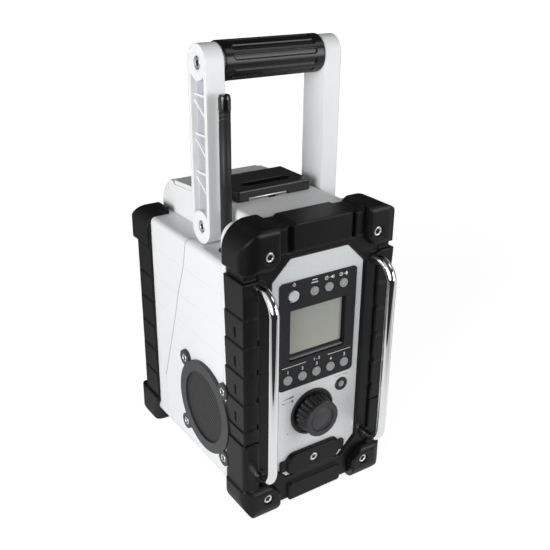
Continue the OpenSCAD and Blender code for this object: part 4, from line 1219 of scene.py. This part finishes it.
def flat_text(words, centre, height):
    """Words in Blender's own typeface as a flat mesh, centred on a point in x and z."""
    curve = bpy.data.curves.new("words", "FONT")
    curve.body = words
    curve.size = height * LETTER_HEIGHT
    curve.offset = height * LETTER_WEIGHT
    curve.resolution_u = 3
    holder = bpy.data.objects.new("words", curve)
    mesh = bpy.data.meshes.new_from_object(holder)
    points = np.empty(len(mesh.vertices) * 3)
    mesh.vertices.foreach_get("co", points)
    points = points.reshape(-1, 3)[:, :2]
    faces = [tuple(face.vertices) for face in mesh.polygons]
    bpy.data.objects.remove(holder)
    middle = (points.min(axis=0) + points.max(axis=0)) / 2
    return points - middle + centre, faces


def printed(name, shapes, y, finish):
    """One mesh of many flat shapes, given in millimetres in x and z, laid on a wall that faces -Y at y."""
    points, faces, start = [], [], 0
    for shape_points, shape_faces in shapes:
        points.append(shape_points)
        faces += [tuple(start + index for index in face) for face in shape_faces]
        start += len(shape_points)
    flat = np.concatenate(points) * MM
    mesh = bpy.data.meshes.new(name)
    mesh.from_pydata(np.column_stack([flat[:, 0], np.full(len(flat), y), flat[:, 1]]), [], faces)
    sheet = bmesh.new()
    sheet.from_mesh(mesh)
    bmesh.ops.remove_doubles(sheet, verts=sheet.verts, dist=MERGE)
    inward = [face for face in sheet.faces if face.normal.y > 0]
    bmesh.ops.reverse_faces(sheet, faces=inward)
    sheet.to_mesh(mesh)
    sheet.free()
    layer = into_scene(name, mesh, finish, "cabinet").modifiers.new("ink", "SOLIDIFY")
    layer.thickness = PRINT_LIFT
    layer.offset = 1


def ink(name, colour):
    """Matt screen-printing ink, a little uneven."""
    made, board = material(name)
    cloud = board.noise(board.point(), 0.0015, 2)
    low = tuple(c * 0.86 for c in colour) + (1,)
    surface_shader(board, base_color=board.mix(cloud, low, colour + (1,)), roughness=0.5 + cloud * 0.1)
    return made


print(f"marks stand {PRINT_LIFT / MM:.2f} mm proud")

# %% [markdown]
# The dark plate carries white numbers, a rule beside them, and a sign over each of the four upper
# buttons: power, a list, a clock with a horn, and a clock with a bell. Each sign is laid out in
# millimetres about its button's middle, so that it follows the button.

# %% Marks on the dark plate
NUMBER_Z = 147.2
NUMBER_HEIGHT = 3.3
RULE_Z = 152.3
RULE_X = (12.2, 38.2)
RULE_WIDTH = 0.55
RANGE_HEIGHT = 2.9
ICON_Z = 231.2
LINE = 0.5
POWER_Z = 0.6
POWER_R = 1.3
POWER_ARC = (125, 415)
POWER_BAR = (0.7, 2.6)
LIST_SHIFT = -0.1
LIST_BARS = [(0.6, 5.4), (-2.0, 7.0)]
LIST_LINE = 0.9
CLOCK_R = 1.6
CLOCK_SHIFT = (-3.3, -1.2)
CLOCK_HANDS = (1.1, 0.9)
HAND = 0.45
DASH_SHIFT = (3.2, -0.1)
DASH_HALF = 0.6
SOUND = {"radius": 2.0, "width": 0.4, "start": -40, "stop": 40, "steps": 12}
SOUND_SHIFT = (1.9, -1.2)
HORN_SHIFT = 1.2
HORN = [(0, -1.9), (1.1, -1.9), (2.7, -3.0), (2.7, 0.6), (1.1, -0.5), (0, -0.5)]
BELL_SHIFT = 2.7
BELL = [(-1.7, -2.4), (1.7, -2.4), (1.0, -0.6), (0, 0.7), (-1.0, -0.6)]
CLAPPER_Z = -3.1


def middle_x(node):
    """The middle of a node in x, in millimetres."""
    return front_middle(node)[0] / MM


marks = [flat_bar((side * RULE_X[0], RULE_Z), (side * RULE_X[1], RULE_Z), RULE_WIDTH) for side in (-1, 1)]
marks.append(flat_text("1 - 5", (0, RULE_Z), RANGE_HEIGHT))
for number in range(1, 6):
    marks.append(flat_text(str(number), (middle_x(f"preset_button_{number}"), NUMBER_Z), NUMBER_HEIGHT))

x = middle_x("power_button")
marks += [flat_ring((x, ICON_Z + POWER_Z), POWER_R, LINE, *POWER_ARC),
          flat_bar((x, ICON_Z + POWER_BAR[0]), (x, ICON_Z + POWER_BAR[1]), LINE)]
x = middle_x("function_button_1") + LIST_SHIFT
marks += [level_bar(x, ICON_Z + shift, length / 2, LIST_LINE) for shift, length in LIST_BARS]
for node in ("function_button_2", "function_button_3"):
    x, z = middle_x(node) + CLOCK_SHIFT[0], ICON_Z + CLOCK_SHIFT[1]
    marks += [flat_ring((x, z), CLOCK_R, LINE),
              flat_bar((x, z), (x, z + CLOCK_HANDS[0]), HAND),
              flat_bar((x, z), (x + CLOCK_HANDS[1], z), HAND),
              level_bar(x + DASH_SHIFT[0], z + DASH_SHIFT[1], DASH_HALF, LINE)]
x = middle_x("function_button_2") + HORN_SHIFT
marks += [flat_shape(HORN, (x, ICON_Z)),
          flat_ring((x + SOUND_SHIFT[0], ICON_Z + SOUND_SHIFT[1]), **SOUND)]
x = middle_x("function_button_3") + BELL_SHIFT
marks += [flat_shape(BELL, (x, ICON_Z)), level_bar(x, ICON_Z + CLAPPER_Z, DASH_HALF, LINE)]
WHITE_INK = ink("white_ink", (0.78, 0.79, 0.80))
printed("plate_marks", marks, plate_y - PRINT_GAP, WHITE_INK)
print(f"{len(marks)} marks on the plate")

# %% [markdown]
# On the silver panel a rising wedge says which way the volume grows, with a minus and a plus under it,
# and short bars stand where small words would be.

# %% Marks on the silver panel
SIGN_X = -30.5
WEDGE_Z = 119.0
WEDGE = [(-6.4, -0.8), (6.4, -0.8), (6.4, 1.1)]
VOLUME_Z = 114.6
STROKE = 0.9
STROKE_HALF = 1.5
STROKE_SHIFT = 4.9
DOT_STEP = 2
DOT_HALF = 0.5
PALE_DOT = (-30.2, 80.2)
PALE_DOT_HALF = 0.9
PALE_DOT_WIDTH = 0.8
MENU_SIGN_Z = 124.4
MENU_SIGN_HALF = 3.25
MENU_SIGN_SHIFT = 4.25
MENU_SIGN_WIDTH = 0.7

plus_x = SIGN_X + STROKE_SHIFT
signs = [flat_shape(WEDGE, (SIGN_X, WEDGE_Z)),
         level_bar(SIGN_X - STROKE_SHIFT, VOLUME_Z, STROKE_HALF, STROKE),
         level_bar(plus_x, VOLUME_Z, STROKE_HALF, STROKE),
         flat_bar((plus_x, VOLUME_Z - STROKE_HALF), (plus_x, VOLUME_Z + STROKE_HALF), STROKE)]
for step in (-1, 0, 1):
    x = SIGN_X + DOT_STEP * step
    signs.append(flat_bar((x, VOLUME_Z - DOT_HALF), (x, VOLUME_Z + DOT_HALF), LINE))
GREY_INK = ink("grey_ink", (0.10, 0.10, 0.11))
printed("panel_signs", signs, panel_y - PRINT_GAP, GREY_INK)

menu_x = middle_x("menu_button")
menu_signs = [level_bar(*PALE_DOT, PALE_DOT_HALF, PALE_DOT_WIDTH),
              level_bar(menu_x - MENU_SIGN_SHIFT, MENU_SIGN_Z, MENU_SIGN_HALF, MENU_SIGN_WIDTH),
              level_bar(menu_x + MENU_SIGN_SHIFT, MENU_SIGN_Z, MENU_SIGN_HALF, MENU_SIGN_WIDTH)]
PALE_INK = ink("pale_ink", (0.36, 0.37, 0.38))
printed("menu_signs", menu_signs, panel_y - PRINT_GAP, PALE_INK)
print(f"{len(signs) + len(menu_signs)} marks on the panel")

# %% [markdown]
# ## Screw heads
# Every screw is a steel cap head with a hexagon socket, low in a mouth. The dark ring round each head and
# the dark disc in its socket are painted shade, for the gap and the hole. Cutting a hexagon out of every
# head would leave ragged faces. A head is a turned profile instead, and in the socket the round wall is
# pushed out to a hexagon.

# %% Heads with hexagon sockets
HEAD_DEPTH = 2.2 * MM
HEAD_EDGE = 0.8 * MM
SOCKET_FLAT = 2.3 * MM
SOCKET_MOUTH = 1.18
SOCKET_CHAMFER = 0.25 * MM
SOCKET_DEPTH = 1.6 * MM
SOCKET_SHADE = 0.45 * MM
PLUG_REACH = 1.12
MOUTH_LIP = 0.45 * MM
MOUTH_ROOT = 0.3 * MM
MOUTH_RISE = 0.04 * MM
SOCKET_REACH = 1.01
HEAD_AROUND = 48
PLUG_AROUND = 24


def hexagon(angle, profile):
    """What turns the socket's circle into a hexagon: a side's distance from the middle, divided by the
    cosine of the angle from the middle of that side, less the circle's radius."""
    radius = profile[:, :1]
    from_flat = np.mod(angle, np.pi / 3) - np.pi / 6
    in_socket = (radius > 0) & (radius < SOCKET_FLAT * SOCKET_REACH)
    return in_socket * radius * (1 / np.cos(from_flat) - 1)


def screw_head(centre, axis, sign, radius, front):
    """One head; sign is the direction that it faces along its axis, front the height of its face."""
    head = rounded([(radius, -HEAD_DEPTH), (radius, 0), (SOCKET_FLAT * SOCKET_MOUTH, 0)], [HEAD_EDGE])
    socket = [(SOCKET_FLAT, -SOCKET_CHAMFER), (SOCKET_FLAT, -SOCKET_DEPTH), (0, -SOCKET_DEPTH)]
    path = np.concatenate([head, socket]) * (1, sign) + (0, front)
    return turned(path, centre, axis, HEAD_AROUND, hexagon)


def socket_plug(centre, axis, sign, front):
    """Painted shade: a round dark disc in the socket, just under the head's face, as the shaded hole looks.
    """
    depth = front - sign * SOCKET_SHADE
    return turned(np.array([(0, depth), (SOCKET_FLAT * PLUG_REACH, depth)]), centre, axis, PLUG_AROUND)


def dark_mouth(centre, axis, sign, inner, outer, front, depth):
    """Painted shade for the gap round a head: a dark ring, down at the inner radius, up at the outer one.
    """
    path = np.array([(inner, -depth), (outer, -depth), (outer, 0), (outer + MOUTH_LIP, 0),
                     (outer + MOUTH_LIP, -MOUTH_ROOT)])
    return turned(path * (1, sign) + (0, front), centre, axis, HEAD_AROUND)


def sunk_screw(centre, axis, sign, wall, radius, sink, mouth, depth):
    """A head that lies sink below a wall, and its two dark sheets of painted shade: the mouth, a ring
    between two radii that lies on the wall, and the disc in the socket."""
    front = wall - sign * sink
    head = screw_head(centre, axis, sign, radius, front)
    gutter = dark_mouth(centre, axis, sign, *mouth, wall + sign * MOUTH_RISE, depth)
    return head, [gutter, socket_plug(centre, axis, sign, front)]


HEAD_FINISH = zinc_steel("screw_head_steel")
# Near-black finish for the painted shade round the screw heads and in their sockets.
PAINTED_SHADE_FINISH = dark_plastic("painted_screw_shade", (0.004, 0.004, 0.004), 0.5)


def screw_set(label, screws):
    """The two pieces of a set of sunk screws: all the heads, and all the dark sheets of painted shade."""
    heads = [head for head, _ in screws]
    sheets = [sheet for _, dark in screws for sheet in dark]
    surface(label + "_screw_heads", heads, HEAD_FINISH, "cabinet")
    surface(label + "_screw_shade_sheets", sheets, PAINTED_SHADE_FINISH, "cabinet")
    print(f"{len(screws)} {label} screws")


print(f"sockets {2 * SOCKET_FLAT / MM:.1f} mm across the flats")

# %% [markdown]
# Four of these screws hold the corner blocks and one holds the socket cover. They all face the front, and
# a row of numbers for each kind is enough to place and size them.

# %% Screws of the front
FRONT_SCREW_X = 56.5 * MM
FRONT_SCREW_Z = (23.4 * MM, 265.7 * MM)
BLOCK_SCREW = {"radius": 4.6 * MM, "sink": 1.3 * MM, "mouth": (4.3 * MM, 5.35 * MM), "depth": 2 * MM}
COVER_SCREW = {"radius": 3.9 * MM, "sink": 0.3 * MM, "mouth": (3.6 * MM, 4.3 * MM), "depth": 1 * MM}

block_y = box("top_block_left")[0][1]
cover_y = box("socket_cover")[0][1]
screws = [sunk_screw((side * FRONT_SCREW_X, 0, z), "y", -1, block_y, **BLOCK_SCREW)
          for side in (-1, 1) for z in FRONT_SCREW_Z]
screws.append(sunk_screw(front_middle("socket_cover"), "y", -1, cover_y, **COVER_SCREW))
screw_set("front", screws)

# %% [markdown]
# Each loudspeaker's ring has four lugs on the corners of a square, with a screw in each that stands a
# little proud. Both sides are made in one loop, because only the direction differs.

# %% Screws of the loudspeakers
LUG_PITCH = 36.3 * MM
RING_SCREW = {"radius": 3.9 * MM, "sink": -0.25 * MM, "mouth": (3.6 * MM, 4.4 * MM), "depth": 1 * MM}

screws = []
for side, node in ((-1, "speaker_ring_left"), (1, "speaker_ring_right")):
    low, high = box(node)
    ring_face = low[0] if side < 0 else high[0]
    middle = (low + high) / 2 * (0, 1, 1)
    for step_y in (-1, 1):
        for step_z in (-1, 1):
            place = middle + (0, step_y * LUG_PITCH, step_z * LUG_PITCH)
            screws.append(sunk_screw(place, "x", side, ring_face, **RING_SCREW))
screw_set("speaker", screws)

# %% [markdown]
# The handle's screws sit in cups in the round ends of the arms: a white collar, a dark gap and a steel
# head; the gap's darkness is painted shade, a dark disc at the cup's bottom. The lower two are the pivots
# and stay with the cabinet when the handle swings, but their cups are part of the arms and travel with
# them.

# %% Screws of the handle
CUP_R = 7.45 * MM
CUP_INNER_R = 5.7 * MM
CUP_DEPTH = 2.9 * MM
CUP_SINK = 0.1 * MM
CUP_EDGES = [0.1 * MM, 0.4 * MM]
CUP_FLOOR = 2 * MM
CUP_FLOOR_LAP = 0.1 * MM
BOSS_SCREW_R = 4.5 * MM
BOSS_SCREW_SINK = 0.5 * MM

arm_low, arm_high = box("handle_arm_right")
arm_width = arm_high[1] - arm_low[1]
arm_face = arm_high[0]
screw_face = arm_face - BOSS_SCREW_SINK
pivot_y = (arm_low[1] + arm_high[1]) / 2
pivot_z = arm_low[2] + arm_width / 2
grip_z = arm_high[2] - arm_width / 2


def cup(place, sign):
    """The white collar that fills an arm's wide bore down to its floor."""
    path = rounded([(CUP_R, -CUP_DEPTH), (CUP_R, -CUP_SINK), (CUP_INNER_R, -CUP_SINK),
                    (CUP_INNER_R, -CUP_DEPTH)], CUP_EDGES)
    return turned(path * (1, sign) + (0, sign * arm_face), place, "x")


def cup_floor(place, sign):
    """Painted shade: a dark disc at the bottom of a cup, for the shadow in the gap round the head."""
    depth = sign * (arm_face - CUP_FLOOR)
    return turned(np.array([(0, depth), (CUP_INNER_R + CUP_FLOOR_LAP, depth)]), place, "x", HEAD_AROUND)


for label, z, body, node in (("grip", grip_z, "handle", "handle_screws"),
                             ("pivot", pivot_z, "cabinet", "pivot_bolts")):
    ends = [screw_head((0, pivot_y, z), "x", sign, BOSS_SCREW_R, sign * screw_face) for sign in (-1, 1)]
    surface(label + "_screw_heads", ends, HEAD_FINISH, body, [node])
places = [((0, pivot_y, z), sign) for z in (grip_z, pivot_z) for sign in (-1, 1)]
cups = [cup(*place) for place in places]
surface("screw_cups", cups, FINISHES["white_plastic"], "handle")
# Painted shade: dark discs at the bottoms of the cups and in the sockets of the handle's screws.
cup_shades = [cup_floor(*place) for place in places]
cup_shades += [socket_plug(place, "x", sign, sign * screw_face) for place, sign in places]
surface("screw_cup_painted_shade", cup_shades, PAINTED_SHADE_FINISH, "handle")
print(f"handle screws at z {pivot_z / MM:.1f} and {grip_z / MM:.1f} mm")

# %% [markdown]
# ## Arm inlays
# The long hollow in each arm has a floor drawn in a grey darker and cooler than the arms, with soft
# clouds. It is a thin sheet whose ends follow the round bosses. Cut with a boolean it would need the arm's
# own shape, and a grid whose rows run from one arc to the other needs only the two circles.

# %% Arm inlays
ARM_HOLLOW = 5.6 * MM
INLAY_LIFT = 0.08 * MM
INLAY_ROWS = 5
INLAY_COLUMNS = 25
HOLLOW_MARGIN = 4.5 * MM
HOLLOW_HALF = arm_width / 2 - HOLLOW_MARGIN
BOSS_MARGIN = 1 * MM
BOSS_R = arm_width / 2 - BOSS_MARGIN


def inlay(sign):
    """A grid over the hollow's floor, from the lower boss's arc to the upper one's: an arc's height is
    the root of the boss's radius squared less the distance across squared."""
    across = np.linspace(-HOLLOW_HALF, HOLLOW_HALF, INLAY_COLUMNS)
    arc = np.sqrt(BOSS_R ** 2 - across ** 2)
    low_z, high_z = pivot_z + arc, grip_z - arc
    share = np.linspace(0, 1, INLAY_ROWS)[:, None]
    grid = np.empty((INLAY_ROWS, INLAY_COLUMNS, 3))
    grid[..., 0] = sign * (arm_face - ARM_HOLLOW + INLAY_LIFT)
    grid[..., 1] = pivot_y + across
    grid[..., 2] = low_z + (high_z - low_z) * share
    return grid


def inlay_plastic(name):
    """Grey with soft clouds in it, darker and cooler than the arms."""
    made, board = material(name)
    point = board.point()
    cloud = board.noise(point, 0.03, 3)
    grain = board.noise(point, 0.0006, 2)
    surface_shader(board, base_color=board.mix(cloud, (0.40, 0.41, 0.445, 1), (0.47, 0.48, 0.515, 1)),
                   roughness=0.34 + grain * 0.1, normal=board.bump(grain, 0.00002))
    return made


surface("arm_inlays", [inlay(-1), inlay(1)], inlay_plastic("arm_inlay"), "handle")
print(f"inlays {2 * HOLLOW_HALF / MM:.0f} mm wide")

# %% [markdown]
# ## Latch spring
# Under the front lip of the battery latch a pale strip of spring steel shows in a shallow cavity. It is
# an outline with rounded ends, drawn in to its middle for the front and the back and carried back for
# its thickness.

# %% Spring strip
STRIP_X = (-28 * MM, 13.4 * MM)
STRIP_Z = (1.2 * MM, 2.9 * MM)
STRIP_EDGE = 0.6 * MM
STRIP_SINK = 0.8 * MM
STRIP_THICK = 1.5 * MM
STRIP_SLOPE = (0.99, 0.1 * MM)

strip_y = box("battery_latch")[0][1] + STRIP_SINK
deck_z = box("front_shell")[1][2]
left, right = STRIP_X
low_z, high_z = deck_z + STRIP_Z[0], deck_z + STRIP_Z[1]
start = (left, (low_z + high_z) / 2)
outline = rounded([start, (left, low_z), (right, low_z), (right, high_z), (left, high_z), start],
                  [STRIP_EDGE] * 4)
middle = outline.mean(axis=0)


def strip_loop(share, y):
    """The outline at depth y, drawn in towards its middle so that a share of its size is left."""
    x, z = (middle + (outline - middle) * share).T
    return np.column_stack([x, np.full(len(outline), y), z])


loops = [strip_loop(0, strip_y), strip_loop(STRIP_SLOPE[0], strip_y),
         strip_loop(1, strip_y + STRIP_SLOPE[1]), strip_loop(1, strip_y + STRIP_THICK),
         strip_loop(0, strip_y + STRIP_THICK)]
surface("latch_spring", [np.stack(loops)], zinc_steel("spring_steel"), "latch")
print(f"spring strip {(right - left) / MM:.0f} mm long under the latch")
